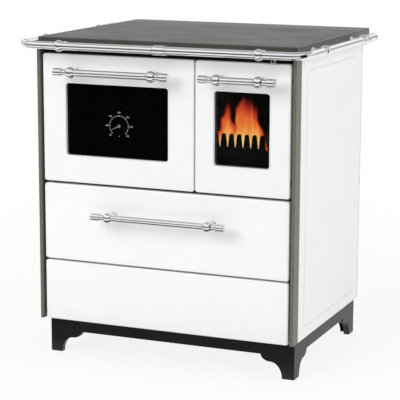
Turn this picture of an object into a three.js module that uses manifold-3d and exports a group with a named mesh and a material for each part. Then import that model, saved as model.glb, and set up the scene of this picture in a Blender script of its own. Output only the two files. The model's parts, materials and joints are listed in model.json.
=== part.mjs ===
// Wood-burning cookstove with an oven, a fire door, a wood drawer and a hob with a hand rail.
// Millimetres, +Z up, the front of the stove faces -Y. X runs along the front.
// While the pieces are laid out, Y = 0 is the front edge of the hob top and Z = 0 the floor.
// The finished group is then moved back so that its origin lies under the middle of the stove.

import * as THREE from 'three';
import { mergeVertices } from 'three/addons/utils/BufferGeometryUtils.js';
import loadManifold from 'manifold-3d';

const kernel = await loadManifold();
kernel.setup();

// ---------------------------------------------------------------- overall sizes
const topWidth = 710;
const bodyDepth = 541;
const topOverhang = 71;
const topThickness = 28;
const plinthHeight = 99.5;
const lowerPanelHeight = 160.7;
const drawerFrontHeight = 202.5;
const doorHeight = 334;
const recessHeight = 14.2;

// ---------------------------------------------------------------- clearances
const seat = 0.3;
const lowerPanelGap = 4.3;
const drawerGap = 6.2;
const doorGap = 3.4;
const postGap = 5.8;
const hingeClearance = 0.08;
const flapGap = 1;
const sideSlack = 0.75;

// ---------------------------------------------------------------- sheet and front panels
const sheet = 2;
const frontSetback = 4;
const frontPanelDepth = 20;
const frontCornerRadius = 7;
const frontEdgeRound = 3;
const frontRim = 3.2;
const linerInset = 3;
const fireDoorWidth = 254.2;
const windowUpperMargin = 74.5;
const windowLowerMargin = 71.7;
const windowShift = -2.4;
const windowReveal = 10;
const windowFlange = 2;
const ovenWindowWidth = 289;
const fireWindowWidth = 149;
const windowRadius = 8;
const glassThickness = 4;
const glassLap = 12;
const sealInset = 14;
const sealWidth = 6;
const sealThickness = 6;

// ---------------------------------------------------------------- corner posts and side panels
const postFaceWidth = 9;
const postFlangeDepth = 38;
const postProud = 1;
const sidePanelProud = 1.5;
const panelFlange = 16;
const fieldHeight = 1;
const fieldRadius = 25;
const fieldFrontInset = 40;
const fieldRearInset = 31.5;
const fieldLowerInset = 31.5;
const fieldUpperInset = 36;

// ---------------------------------------------------------------- black front frame
const frameThickness = 5;
const openingInset = 24;
const drawerOpeningInset = 9.3;
const frameSideBar = 29;
const lowerOpeningInset = 13;

// ---------------------------------------------------------------- plinth
const plinthInset = 8;
const plinthSetback = 39.5;
const plinthSheet = 3;
const plinthReturn = 16;
const apronHeight = 39.5;
const footWidth = 33;
const sideFootWidth = 38;

// ---------------------------------------------------------------- hob top
const topCornerRadius = 6;
const topEdgeRound = 3;
const rimWidth = 12;
const deckDepth = 102;
const plateThickness = 8;
const ledgeWidth = 14;
const deckWall = 8;
const plateGap = 2;
const lidDiameter = 185;
const lidX = 172;
const lidY = 274;
const lidThickness = 4.7;
const lidSpigotInset = 12;
const coverWidth = 106;
const coverDepth = 84;
const coverX = 240;
const coverRearInset = 32;

// ---------------------------------------------------------------- hand rail
const railRadius = 10;
const railReach = 38;
const railSideReach = 35;
const railDrop = 18;
const railBendRadius = 50;
const railBallRadius = 14.5;
const railStandoffRadius = 6;
const railRosetteRadius = 9.8;
const railRosetteHeight = 5;
const railFrontBallInset = 84;
const railFirstSideBall = 115;
const railRearBallInset = 179;
const railEndInset = 79;
const finialLength = 70;
const finialRadius = 12.3;
const sleeveLength = 35;
const sleeveCentre = 9.5;
const sleeveWall = 2;

// ---------------------------------------------------------------- bar handles
const barRadius = 9;
const barReach = 40;
const barOverhang = 47.2;
const barEndRadius = 10.3;
const barEndLength = 24;
const barGroove = 2.5;
const handleBallRadius = 14.5;
const handleStandoffRadius = 5.5;
const handleRosetteRadius = 9;
const handleRosetteHeight = 5;
const studRadius = 3;
const studLength = 10;
const ovenHandleSpan = 225.4;
const fireHandleSpan = 109.6;
const drawerHandleSpan = 276;
const doorHandleDrop = 42.5;
const drawerHandleDrop = 71.3;

// ---------------------------------------------------------------- hinges
const hingeInset = 9;
const hingeDepth = 11;
const pinRadius = 4;
const lugThickness = 8;
const lugHalfHeight = 4;
const earThickness = 4.5;
const earMargin = 2;
const hingeFromEnd = 40;

// ---------------------------------------------------------------- oven, firebox and flue
const flueChamberDepth = 97;
const ovenSheet = 2.5;
const shelfBelowBulb = 24.2;
const upperShelfRise = 100;
const ledgeReach = 10;
const ledgeThickness = 3;
const shelfWire = 4;
const shelfBars = 11;
const casingSheet = 3;
const brickThickness = 25;
const brickHeight = 222;
const rearBrickHeight = 176;
const grateThickness = 12;
const ashPanHeight = 37.5;
const ashPanSheet = 2;
const grateClearance = 5;
const guardThickness = 6;
const guardBase = 36;
const fingerHeight = 35;
const fingerPitch = 20.7;
const fingerCount = 7;
const fingerInset = 18.3;
const fingerTip = 5.5;
const fingerFoot = 9;
const flueRadius = 60;
const flueWall = 3;
const flueLength = 52;
const flueFlangeWidth = 15;
const flueDrop = 110;

// ---------------------------------------------------------------- draught rod and flue flap
const rodRadius = 3;
const knobRadius = 6.8;
const knobLength = 12;
const knobOverDoor = 0.3;
const rodFromDoorEdge = 43.2;
const flapHeight = 38;
const flapWidth = 98;
const flapSpindle = 3;
const flapStandoff = 5;
const crankLength = 38;
const crankLean = 34.4;
const crankPin = 2.5;
const slotPlay = 1.2;
const bladeThickness = 3;

// ---------------------------------------------------------------- drawer
const drawerSheet = 2;
const drawerHeight = 161;
const drawerSideGap = 5;
const drawerRearGap = 33;
const runnerHeight = 5;
const runnerWidth = 10;

// ---------------------------------------------------------------- thermometer
const dialDrop = 13;
const dialShift = 0.4;
const caseRadius = 13;
const caseDepth = 9;
const bossRadius = 4.4;
const dialHoleRadius = 5;
const pointerLength = 23;
const pointerThickness = 0.8;
const pointerPin = 1.2;
const bulbRadius = 3.5;
const bulbLength = 36;

// ---------------------------------------------------------------- heights worked out from the sizes
const bodyBottom = plinthHeight + seat;
const lowerPanelTop = bodyBottom + lowerPanelHeight;
const drawerBottom = lowerPanelTop + lowerPanelGap;
const drawerTop = drawerBottom + drawerFrontHeight;
const doorBottom = drawerTop + drawerGap;
const doorTop = doorBottom + doorHeight;
const bodyTop = doorTop + recessHeight;
const topBottom = bodyTop + seat;
const topFace = topBottom + topThickness;
const plateBottom = topFace - plateThickness;
const ledgeTop = plateBottom - seat;
const smokeTop = plateBottom - 2 * seat;
const openingBottom = doorBottom + openingInset;
const openingTop = doorTop - openingInset;

// ---------------------------------------------------------------- widths and depths worked out
const topHalf = topWidth / 2;
const topDepth = bodyDepth + topOverhang;
const postOuter = topHalf + postProud;
const postInner = postOuter - postFaceWidth;
const frontHalf = postInner - postGap;
const sidePanelFace = topHalf + sidePanelProud;
const plinthHalf = topHalf - plinthInset;
const frontFace = frontSetback;
const frontBack = frontFace + frontPanelDepth;
const linerFront = frontBack + seat;
const linerBack = linerFront + sheet;
const sealFront = linerBack + seat;
const frameFront = sealFront + sealThickness + seat;
const frameBack = frameFront + frameThickness;
const insideFront = frameBack + seat;
const rearPanelFront = bodyDepth - sheet;
const chamberFront = rearPanelFront - flueChamberDepth;
const fireDoorRight = frontHalf;
const fireDoorLeft = fireDoorRight - fireDoorWidth;
const ovenDoorLeft = -frontHalf;
const ovenDoorRight = fireDoorLeft - doorGap;
const windowHeight = doorHeight - windowUpperMargin - windowLowerMargin;
const windowRise = (windowLowerMargin - windowUpperMargin) / 2;
const glassFront = frontFace + windowReveal + seat;
const glassBack = glassFront + glassThickness;

// ---------------------------------------------------------------- materials
function finish(colour, roughness, metalness) {
  return new THREE.MeshStandardMaterial({ color: colour, roughness, metalness });
}

const finishes = {
  whiteEnamel: [0xf1f1f2, 0.22, 0],
  olivePaint: [0x6d6c60, 0.45, 0],
  greyTop: [0x73736f, 0.4, 0],
  blackPaint: [0x141416, 0.55, 0],
  chrome: [0xd4d6d8, 0.12, 1],
  darkGlass: [0x08080a, 0.06, 0],
  castIron: [0x2a2724, 0.7, 0.2],
  sheetSteel: [0x8a8c8e, 0.5, 0.8],
  firebrick: [0xb59a72, 0.95, 0],
  ropeSeal: [0x3a3936, 1, 0],
  whitePaint: [0xe8e8e6, 0.5, 0],
};

// ---------------------------------------------------------------- shape helpers

// A closed mesh as a solid: shared corners are merged, flat triangles dropped, faces turned out.
function solid(geometry) {
  const bare = geometry.index ? geometry.toNonIndexed() : geometry.clone();
  bare.deleteAttribute('normal');
  bare.deleteAttribute('uv');
  const merged = mergeVertices(bare, 1e-3);
  const places = merged.attributes.position;
  const corners = merged.index.array;
  const a = new THREE.Vector3();
  const b = new THREE.Vector3();
  const c = new THREE.Vector3();
  const kept = [];
  let sixVolumes = 0;
  for (let i = 0; i < corners.length; i += 3) {
    const [p, q, r] = [corners[i], corners[i + 1], corners[i + 2]];
    if (p === q || q === r || r === p) continue;
    kept.push(p, q, r);
    a.fromBufferAttribute(places, p);
    b.fromBufferAttribute(places, q);
    c.fromBufferAttribute(places, r);
    sixVolumes += a.dot(b.cross(c));
  }
  if (sixVolumes < 0) kept.reverse();
  const vertProperties = new Float32Array(places.array);
  const triVerts = new Uint32Array(kept);
  return new kernel.Manifold(new kernel.Mesh({ numProp: 3, vertProperties, triVerts }));
}

function surface(body) {
  const mesh = body.getMesh();
  const geometry = new THREE.BufferGeometry();
  geometry.setAttribute('position', new THREE.BufferAttribute(mesh.vertProperties, 3));
  geometry.setIndex(new THREE.BufferAttribute(mesh.triVerts, 1));
  geometry.computeVertexNormals();
  return geometry;
}

function joined(first, ...others) {
  return others.reduce((whole, piece) => whole.add(piece), first);
}

function without(first, ...others) {
  return others.reduce((whole, piece) => whole.subtract(piece), first);
}

function block(x0, x1, y0, y1, z0, z1) {
  const geometry = new THREE.BoxGeometry(x1 - x0, y1 - y0, z1 - z0);
  return solid(geometry.translate((x0 + x1) / 2, (y0 + y1) / 2, (z0 + z1) / 2));
}

// Outline of a rectangle with round corners, with four steps to each corner.
function roundedOutline(x0, x1, y0, y1, radius) {
  const outline = [];
  const centres = [[x1 - radius, y1 - radius], [x0 + radius, y1 - radius], [x0 + radius, y0 + radius]];
  centres.push([x1 - radius, y0 + radius]);
  centres.forEach(([cx, cy], corner) => {
    for (let step = 0; step <= 4; step += 1) {
      const angle = (corner + step / 4) * Math.PI / 2;
      outline.push(new THREE.Vector2(cx + radius * Math.cos(angle), cy + radius * Math.sin(angle)));
    }
  });
  return new THREE.Shape(outline);
}

function outlineOf(points) {
  return new THREE.Shape(points.map(([x, y]) => new THREE.Vector2(x, y)));
}

// Raised along +Z from an outline in plan.
function flat(shape, z0, z1) {
  const geometry = new THREE.ExtrudeGeometry(shape, { depth: z1 - z0, bevelEnabled: false });
  return solid(geometry.translate(0, 0, z0));
}

// Raised along +Y from an outline seen from the front.
function upright(shape, y0, y1) {
  const geometry = new THREE.ExtrudeGeometry(shape, { depth: y1 - y0, bevelEnabled: false });
  return solid(geometry.rotateX(Math.PI / 2).translate(0, y1, 0));
}

// Raised along +X from an outline seen from the side, with Y and Z as its two axes.
function sideways(shape, x0, x1) {
  const geometry = new THREE.ExtrudeGeometry(shape, { depth: x1 - x0, bevelEnabled: false });
  const turn = new THREE.Matrix4();
  turn.makeBasis(new THREE.Vector3(0, 1, 0), new THREE.Vector3(0, 0, 1), new THREE.Vector3(1, 0, 0));
  return solid(geometry.applyMatrix4(turn).translate(x0, 0, 0));
}

// Turned round a line. The profile is a list of [radius, distance along the line].
function turned(profile, sides, axis) {
  const geometry = new THREE.LatheGeometry(profile.map(([r, s]) => new THREE.Vector2(r, s)), sides);
  if (axis === 'x') geometry.rotateZ(-Math.PI / 2);
  if (axis === 'z') geometry.rotateX(Math.PI / 2);
  return solid(geometry);
}

function rod(axis, radius, from, to, sides) {
  return turned([[0, from], [radius, from], [radius, to], [0, to]], sides, axis);
}

function placed(body, x, y, z) {
  return body.translate([x, y, z]);
}

// The same outline drawn in by a distance on every side, with mitred corners.
function inset(points, distance) {
  return points.map((point, i) => {
    const before = points[(i + points.length - 1) % points.length];
    const after = points[(i + 1) % points.length];
    const one = new THREE.Vector2(point[0] - before[0], point[1] - before[1]).normalize();
    const two = new THREE.Vector2(after[0] - point[0], after[1] - point[1]).normalize();
    const scale = distance / (1 + one.dot(two));
    return [point[0] - (one.y + two.y) * scale, point[1] + (one.x + two.x) * scale];
  });
}

// ---------------------------------------------------------------- scene helpers
const stove = new THREE.Group();

function addPiece(name, body, look, parent = stove) {
  const [colour, roughness, metalness] = finishes[look];
  const mesh = new THREE.Mesh(surface(body), finish(colour, roughness, metalness));
  mesh.name = name;
  parent.add(mesh);
  return mesh;
}

function addGroup(x, y, z, parent = stove) {
  const group = new THREE.Group();
  group.position.set(x, y, z);
  parent.add(group);
  return group;
}

// ---------------------------------------------------------------- plinth
// Each wall is a pressed sheet with its edges folded in. Bracket feet flank a raised apron.
function plinthOutline(half, foot) {
  const apron = plinthHeight - apronHeight;
  const steps = [[0, 0], [15, apron * 0.575], [29.5, apron * 0.7], [47.5, apron * 0.8], [58.5, apron]];
  const right = steps.map(([along, height]) => [half - foot - along, height]);
  const left = steps.map(([along, height]) => [-half + foot + along, height]).reverse();
  return [[-half, 0], ...left.reverse(), ...right.reverse(), [half, 0], [half, plinthHeight],
    [-half, plinthHeight]];
}

function plinthWall(half, foot) {
  const outer = plinthOutline(half, foot);
  const inner = inset(outer, plinthSheet);
  const wall = upright(outlineOf(outer), 0, plinthReturn);
  return without(wall, upright(outlineOf(inner), plinthSheet, plinthReturn + 1));
}

const plinthSideHalf = (bodyDepth - plinthSetback) / 2;
const plinthMiddle = (bodyDepth + plinthSetback) / 2;
const plinthFront = placed(plinthWall(plinthHalf, footWidth), 0, plinthSetback, 0);
const plinthRear = placed(plinthWall(plinthHalf, footWidth).rotate([0, 0, 180]), 0, bodyDepth, 0);
const plinthSide = plinthWall(plinthSideHalf, sideFootWidth);
const plinthRight = placed(plinthSide.rotate([0, 0, 90]), plinthHalf, plinthMiddle, 0);
const plinthLeft = placed(plinthSide.rotate([0, 0, -90]), -plinthHalf, plinthMiddle, 0);
addPiece('plinth', joined(plinthFront, plinthRear, plinthRight, plinthLeft), 'blackPaint');

const panHalf = sidePanelFace - sheet - panelFlange - seat - 0.5;
const panFront = frameFront - 5;
const panRear = rearPanelFront - seat;
addPiece('base_pan', block(-panHalf, panHalf, panFront, panRear, bodyBottom, bodyBottom + sheet), 'sheetSteel');

// ---------------------------------------------------------------- corner posts
// A folded channel: the narrow front face, the wide outer flange and a return beside the doors.
const postSection = [[postInner, 0], [postOuter, 0], [postOuter, postFlangeDepth]];
postSection.push([postOuter - sheet, postFlangeDepth], [postOuter - sheet, sheet], [postInner + sheet, sheet]);
postSection.push([postInner + sheet, postFlangeDepth], [postInner, postFlangeDepth]);
const postRight = flat(outlineOf(postSection), bodyBottom, bodyTop);
addPiece('corner_post_right', postRight, 'olivePaint');
addPiece('corner_post_left', postRight.mirror([1, 0, 0]), 'olivePaint');

// ---------------------------------------------------------------- side and rear panels
// A pressed tray with a raised field that has round corners, its flanges folded inwards.
const sideFront = postFlangeDepth + seat;
const sideRear = rearPanelFront - seat;
const sideOuter = block(sidePanelFace - sheet - panelFlange, sidePanelFace, sideFront, sideRear, bodyBottom, bodyTop);
const sidePocket = block(sidePanelFace - sheet - panelFlange - 1, sidePanelFace - sheet,
  sideFront + sheet, sideRear - sheet, bodyBottom + sheet, bodyTop - sheet);
const fieldShape = roundedOutline(sideFront + fieldFrontInset, sideRear - fieldRearInset,
  bodyBottom + fieldLowerInset, bodyTop - fieldUpperInset, fieldRadius);
const sideField = sideways(fieldShape, sidePanelFace - sheet / 2, sidePanelFace + fieldHeight);
const sidePanel = joined(without(sideOuter, sidePocket), sideField);
addPiece('side_panel_right', sidePanel, 'whiteEnamel');
addPiece('side_panel_left', sidePanel.mirror([1, 0, 0]), 'whiteEnamel');

const flueX = (fireDoorLeft + fireDoorRight) / 2;
const flueZ = topBottom - flueDrop + 25;
const rearSheet = block(-postOuter, postOuter, rearPanelFront, bodyDepth, bodyBottom, bodyTop);
const flueHole = placed(rod('y', flueRadius + seat, rearPanelFront - 5, bodyDepth + 5, 32), flueX, 0, flueZ);
addPiece('rear_panel', without(rearSheet, flueHole), 'sheetSteel');

const flueTube = [[flueRadius - flueWall, -5], [flueRadius, -5], [flueRadius, sheet + seat]];
flueTube.push([flueRadius + flueFlangeWidth, sheet + seat], [flueRadius + flueFlangeWidth, sheet + seat + flueWall]);
flueTube.push([flueRadius, sheet + seat + flueWall], [flueRadius, flueLength], [flueRadius - flueWall, flueLength]);
flueTube.push([flueRadius - flueWall, -5]);
addPiece('flue_collar', placed(turned(flueTube, 32, 'y'), flueX, rearPanelFront, flueZ), 'blackPaint');

// ---------------------------------------------------------------- hob top
// A cast frame with a ledge for the hob plate and a hollow deck behind it.
const topRound = topEdgeRound;
const topShape = roundedOutline(-topHalf + topRound, topHalf - topRound, topRound, topDepth - topRound,
  topCornerRadius);
const topBlock = solid(new THREE.ExtrudeGeometry(topShape, { depth: topThickness, bevelEnabled: true,
  bevelThickness: topRound, bevelSize: topRound, bevelSegments: 2 }).translate(0, 0, topBottom - topRound));
const plateHalf = topHalf - rimWidth;
const plateFront = rimWidth - 2;
const plateRear = topDepth - deckDepth - 2;
const topPocket = block(-plateHalf - plateGap, plateHalf + plateGap, plateFront - plateGap, plateRear + plateGap,
  ledgeTop, topFace + 9);
const topOpening = block(-plateHalf + ledgeWidth, plateHalf - ledgeWidth, plateFront + ledgeWidth,
  plateRear - ledgeWidth, topBottom - 9, topFace);
const deckHollow = block(-topHalf + deckWall, topHalf - deckWall, plateRear + deckWall, topDepth - deckWall,
  topBottom - 9, topFace - plateThickness);
const belowTop = block(-topWidth, topWidth, -99, topDepth + 99, topBottom - 20, topBottom);
const aboveTop = block(-topWidth, topWidth, -99, topDepth + 99, topFace, topFace + 20);
addPiece('top_frame', without(topBlock, topPocket, topOpening, deckHollow, belowTop, aboveTop), 'greyTop');

const coverY = plateRear - coverRearInset - coverDepth / 2;
const lidRadius = lidDiameter / 2;
const lidBottom = topFace - lidThickness;
const lidHole = placed(rod('z', lidRadius + seat, lidBottom - seat, topFace + 5, 40), lidX, lidY, 0);
const lidThrough = placed(rod('z', lidRadius - lidSpigotInset + 2 * seat, plateBottom - 5, topFace, 40), lidX, lidY, 0);
const coverHole = flat(roundedOutline(coverX - coverWidth / 2 - seat, coverX + coverWidth / 2 + seat,
  coverY - coverDepth / 2 - seat, coverY + coverDepth / 2 + seat, 6), lidBottom - seat, topFace + 5);
const coverThrough = flat(roundedOutline(coverX - coverWidth / 2 + 8, coverX + coverWidth / 2 - 8,
  coverY - coverDepth / 2 + 8, coverY + coverDepth / 2 - 8, 4), plateBottom - 5, topFace);
const plateShape = roundedOutline(-plateHalf, plateHalf, plateFront, plateRear, 3);
const hobPlate = without(flat(plateShape, plateBottom, topFace), lidHole, lidThrough, coverHole, coverThrough);
addPiece('hob_plate', hobPlate, 'greyTop');

const lidProfile = [[0, plateBottom], [lidRadius - lidSpigotInset, plateBottom]];
lidProfile.push([lidRadius - lidSpigotInset, lidBottom], [lidRadius, lidBottom], [lidRadius, topFace], [0, topFace]);
addPiece('hob_lid', placed(turned(lidProfile, 40, 'z'), lidX, lidY, 0), 'greyTop');

const coverPlate = flat(roundedOutline(coverX - coverWidth / 2, coverX + coverWidth / 2,
  coverY - coverDepth / 2, coverY + coverDepth / 2, 6), lidBottom, topFace);
const coverSpigot = flat(roundedOutline(coverX - coverWidth / 2 + 9, coverX + coverWidth / 2 - 9,
  coverY - coverDepth / 2 + 9, coverY + coverDepth / 2 - 9, 4), plateBottom, topFace - 1);
addPiece('cleanout_cover', joined(coverPlate, coverSpigot), 'greyTop');

// ---------------------------------------------------------------- black front frame
// One plate behind the doors, with an opening each for oven, fire, drawer and lower compartment.
const rodX = fireDoorRight - rodFromDoorEdge;
const rodZ = doorTop + knobOverDoor + knobRadius;
const drawerOpeningBottom = drawerBottom + drawerOpeningInset;
const drawerOpeningTop = drawerTop - drawerOpeningInset;
const drawerOpeningHalf = postInner - frameSideBar - seat;
const ovenLeft = ovenDoorLeft + openingInset;
const ovenRight = ovenDoorRight - openingInset;
const fireLeft = fireDoorLeft + openingInset;
const fireRight = fireDoorRight - openingInset;

function frameOpening(x0, x1, z0, z1) {
  return block(x0, x1, frameFront - 1, frameBack + 1, z0, z1);
}

const framePlate = block(-postInner + seat, postInner - seat, frameFront, frameBack, bodyBottom + sheet + seat, bodyTop);
const frameTongueHalf = plateHalf - ledgeWidth - 2 * seat;
const frameTongue = block(-frameTongueHalf, frameTongueHalf, frameFront, frameBack, bodyTop - 1, smokeTop);
const frameRodHole = placed(rod('y', rodRadius + seat, frameFront - 1, frameBack + 1, 16), rodX, 0, rodZ);
addPiece('front_frame', without(
  joined(framePlate, frameTongue),
  frameOpening(ovenLeft, ovenRight, openingBottom, openingTop),
  frameOpening(fireLeft, fireRight, openingBottom, openingTop),
  frameOpening(-drawerOpeningHalf, drawerOpeningHalf, drawerOpeningBottom, drawerOpeningTop),
  frameOpening(-drawerOpeningHalf, drawerOpeningHalf, bodyBottom + lowerOpeningInset + 8, lowerPanelTop - lowerOpeningInset),
  frameRodHole,
), 'blackPaint');

// ---------------------------------------------------------------- pressed front panels
// A shallow tray, open behind, with round corners and a rounded front edge, about its own centre.
function frontTray(width, height) {
  const round = frontEdgeRound;
  const shape = roundedOutline(-width / 2 + round, width / 2 - round, -height / 2 + round, height / 2 - round,
    frontCornerRadius - round);
  const settings = { depth: 30, bevelEnabled: true, bevelThickness: round, bevelSize: round, bevelSegments: 2 };
  const raised = new THREE.ExtrudeGeometry(shape, settings).rotateX(-Math.PI / 2).rotateX(Math.PI);
  const whole = solid(raised.translate(0, 30 + round, 0));
  const behind = block(-width, width, frontPanelDepth, 99, -height, height);
  const pocketShape = roundedOutline(-width / 2 + frontRim, width / 2 - frontRim, -height / 2 + frontRim,
    height / 2 - frontRim, frontCornerRadius - frontRim);
  return without(whole, behind, upright(pocketShape, sheet, frontPanelDepth + 1));
}

// Outline of the window, let out by a margin on every side.
function windowOutline(windowWidth, margin, radius) {
  const half = windowWidth / 2 + margin;
  const high = windowHeight / 2 + margin;
  return roundedOutline(windowShift - half, windowShift + half, windowRise - high, windowRise + high, radius);
}

// The edge of the window is turned in to a flange that reaches back to the glass.
function windowedTray(width, height, windowWidth) {
  const flangeOutline = windowOutline(windowWidth, windowFlange, windowRadius + windowFlange);
  const flange = upright(flangeOutline, sheet / 2, windowReveal);
  const hole = upright(windowOutline(windowWidth, 0, windowRadius), -9, windowReveal + 9);
  return without(joined(frontTray(width, height), flange), hole);
}

function glassPane(windowWidth) {
  return upright(windowOutline(windowWidth, glassLap, 4), glassFront - frontFace, glassBack - frontFace);
}

function doorLiner(width, height, windowWidth) {
  const half = width / 2 - linerInset;
  const high = height / 2 - linerInset;
  const plate = block(-half, half, linerFront - frontFace, linerBack - frontFace, -high, high);
  return without(plate, upright(windowOutline(windowWidth, 0, windowRadius), 0, 60));
}

function doorSeal(width, height) {
  const outer = roundedOutline(-width / 2 + sealInset, width / 2 - sealInset, -height / 2 + sealInset,
    height / 2 - sealInset, 12);
  const far = sealInset + sealWidth;
  const inner = roundedOutline(-width / 2 + far, width / 2 - far, -height / 2 + far, height / 2 - far, 6);
  const from = sealFront - frontFace;
  return without(upright(outer, from, from + sealThickness), upright(inner, from - 1, from + sealThickness + 1));
}

// ---------------------------------------------------------------- bar handles
// The post is turned in one piece: ball, standoff, domed rosette and the stud through the panel.
function ballPost(ball, standoff, rosette, rosetteHeight, reach, stud, studReach, bore) {
  const profile = [[0, -ball]];
  const meets = Math.asin(standoff / ball);
  for (let step = 1; step <= 6; step += 1) {
    const angle = Math.PI - (Math.PI - meets) * step / 6;
    profile.push([ball * Math.sin(angle), ball * Math.cos(angle)]);
  }
  const face = reach - seat;
  profile.push([standoff, face - rosetteHeight], [rosette * 0.8, face - rosetteHeight * 0.6], [rosette, face]);
  if (studReach > 0) profile.push([stud, face], [stud, face + studReach]);
  profile.push([0, face + studReach]);
  return without(turned(profile, 12, 'y'), rod('x', bore, -ball - 5, ball + 5, 14));
}

// The bar has a plain middle, then a groove and a thicker sleeve at each end.
function handleBar(span) {
  const half = span / 2 + barOverhang;
  const end = barEndRadius;
  const inner = half - barEndLength;
  const right = [[barRadius, inner - barGroove], [barRadius - 0.8, inner - barGroove], [barRadius - 0.8, inner]];
  right.push([end, inner], [end, half - 3], [end - 0.8, half], [0, half]);
  const left = right.map(([radius, along]) => [radius, -along]).reverse();
  return turned([...left, ...right], 12, 'x');
}

function addHandle(names, span, parent, x, z) {
  const group = addGroup(x, -barReach, z, parent);
  addPiece(names.bar, handleBar(span), 'chrome', group);
  const post = ballPost(handleBallRadius, handleStandoffRadius, handleRosetteRadius, handleRosetteHeight, barReach,
    studRadius, studLength, barRadius + seat);
  addPiece(names.left, post, 'chrome', group).position.x = -span / 2;
  addPiece(names.right, post, 'chrome', group).position.x = span / 2;
}

function studHoles(span, z) {
  const hole = rod('y', studRadius + seat, -5, 8, 12);
  return joined(placed(hole, -span / 2, 0, z), placed(hole, span / 2, 0, z));
}

// ---------------------------------------------------------------- oven door
// The door drops down on two pins near its lower edge, each held by a lug on the front frame.
const ovenDoorWidth = ovenDoorRight - ovenDoorLeft;
const ovenDoorMiddle = (ovenDoorLeft + ovenDoorRight) / 2;
const doorMiddleZ = (doorBottom + doorTop) / 2;
const doorHandleZ = doorHeight / 2 - doorHandleDrop;
const ovenHingeX = ovenDoorWidth / 2 - hingeFromEnd;
const ovenHingeZ = -doorHeight / 2 + hingeInset;
const earReach = pinRadius + hingeClearance + earMargin;
const slotHalf = lugThickness / 2 + sideSlack;
const lugBack = frameFront - seat - frontFace;
const slotTop = ovenHingeZ + lugHalfHeight + 0.5;
const pinHole = rod('x', pinRadius + hingeClearance, -20, 20, 24);
const ovenDoor = addGroup(ovenDoorMiddle, frontFace, doorMiddleZ);

function ovenSlot(x) {
  return block(x - slotHalf, x + slotHalf, hingeDepth - lugHalfHeight - 1, 60, -doorHeight, slotTop);
}

function ovenEars(x) {
  const far = slotHalf + earThickness;
  const front = hingeDepth - earReach;
  const back = linerBack - frontFace - 1;
  const low = -doorHeight / 2 + frontRim + 0.5;
  return joined(block(x - far, x - slotHalf, front, back, low, ovenHingeZ + earReach),
    block(x + slotHalf, x + far, front, back, low, ovenHingeZ + earReach));
}

const ovenPanel = without(windowedTray(ovenDoorWidth, doorHeight, ovenWindowWidth),
  studHoles(ovenHandleSpan, doorHandleZ), ovenSlot(-ovenHingeX), ovenSlot(ovenHingeX));
addPiece('oven_door_panel', ovenPanel, 'whiteEnamel', ovenDoor);

const dialHole = placed(rod('y', dialHoleRadius, 0, 30, 20), dialShift, 0, -dialDrop);
addPiece('oven_door_glass', without(glassPane(ovenWindowWidth), dialHole), 'darkGlass', ovenDoor);

const ovenLiner = without(
  joined(without(doorLiner(ovenDoorWidth, doorHeight, ovenWindowWidth), ovenSlot(-ovenHingeX), ovenSlot(ovenHingeX)),
    ovenEars(-ovenHingeX), ovenEars(ovenHingeX)),
  placed(pinHole, -ovenHingeX, hingeDepth, ovenHingeZ),
  placed(pinHole, ovenHingeX, hingeDepth, ovenHingeZ),
);
addPiece('oven_door_liner', ovenLiner, 'sheetSteel', ovenDoor);
addPiece('oven_door_seal', doorSeal(ovenDoorWidth, doorHeight), 'ropeSeal', ovenDoor);
addHandle({ bar: 'oven_handle_bar', left: 'oven_handle_post_left', right: 'oven_handle_post_right' },
  ovenHandleSpan, ovenDoor, 0, doorHandleZ);

// A lug with a pin across it. The pin line is at the origin and the foot of the lug lies on the frame.
function hingeLug() {
  const high = lugHalfHeight;
  const reach = lugBack - hingeDepth;
  const nose = [[0, -high], [reach, -high], [reach, high], [0, high], [-high * 0.7, high * 0.7]];
  nose.push([-high, 0], [-high * 0.7, -high * 0.7]);
  const lug = sideways(outlineOf(nose), -lugThickness / 2, lugThickness / 2);
  return joined(lug, rod('x', pinRadius, -slotHalf - earThickness + 0.5, slotHalf + earThickness - 0.5, 24));
}

const ovenHinges = addGroup(ovenDoorMiddle, frontFace + hingeDepth, doorMiddleZ + ovenHingeZ);
addPiece('oven_hinge_left', hingeLug(), 'sheetSteel', ovenHinges).position.x = -ovenHingeX;
addPiece('oven_hinge_right', hingeLug(), 'sheetSteel', ovenHinges).position.x = ovenHingeX;

// ---------------------------------------------------------------- oven thermometer
// The case sits behind the glass, its boss fills the hole in it, the pointer turns in front of it.
const thermometer = addGroup(dialShift, 0, -dialDrop, ovenDoor);
const caseFront = glassBack - frontFace + seat;
const bossFront = glassFront - frontFace - seat;
const pinBore = rod('y', pointerPin + hingeClearance, bossFront - 1, bossFront + 4, 16);
const caseProfile = [[0, bossFront], [bossRadius, bossFront], [bossRadius, caseFront], [caseRadius, caseFront]];
caseProfile.push([caseRadius, caseFront + caseDepth], [bulbRadius, caseFront + caseDepth]);
caseProfile.push([bulbRadius, caseFront + caseDepth + bulbLength], [0, caseFront + caseDepth + bulbLength]);
addPiece('thermometer_case', without(turned(caseProfile, 20, 'y'), pinBore), 'sheetSteel', thermometer);

// At rest the pointer lies towards the low end of the scale, down and to the left.
const pointerBack = bossFront - seat;
const pointerShape = outlineOf([[-2.2, -3], [2.2, -3], [2.2, 0], [1, pointerLength], [-1, pointerLength], [-2.2, 0]]);
const pointerBlade = upright(pointerShape, pointerBack - pointerThickness, pointerBack);
const pointerHub = rod('y', 3.2, pointerBack - pointerThickness - 0.3, pointerBack, 16);
const pointerStem = rod('y', pointerPin, pointerBack - 0.2, bossFront + 3, 16);
const pointer = joined(pointerBlade, pointerHub, pointerStem);
addPiece('thermometer_pointer', pointer, 'whitePaint', thermometer).rotation.y = -Math.PI * 0.65;

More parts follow.
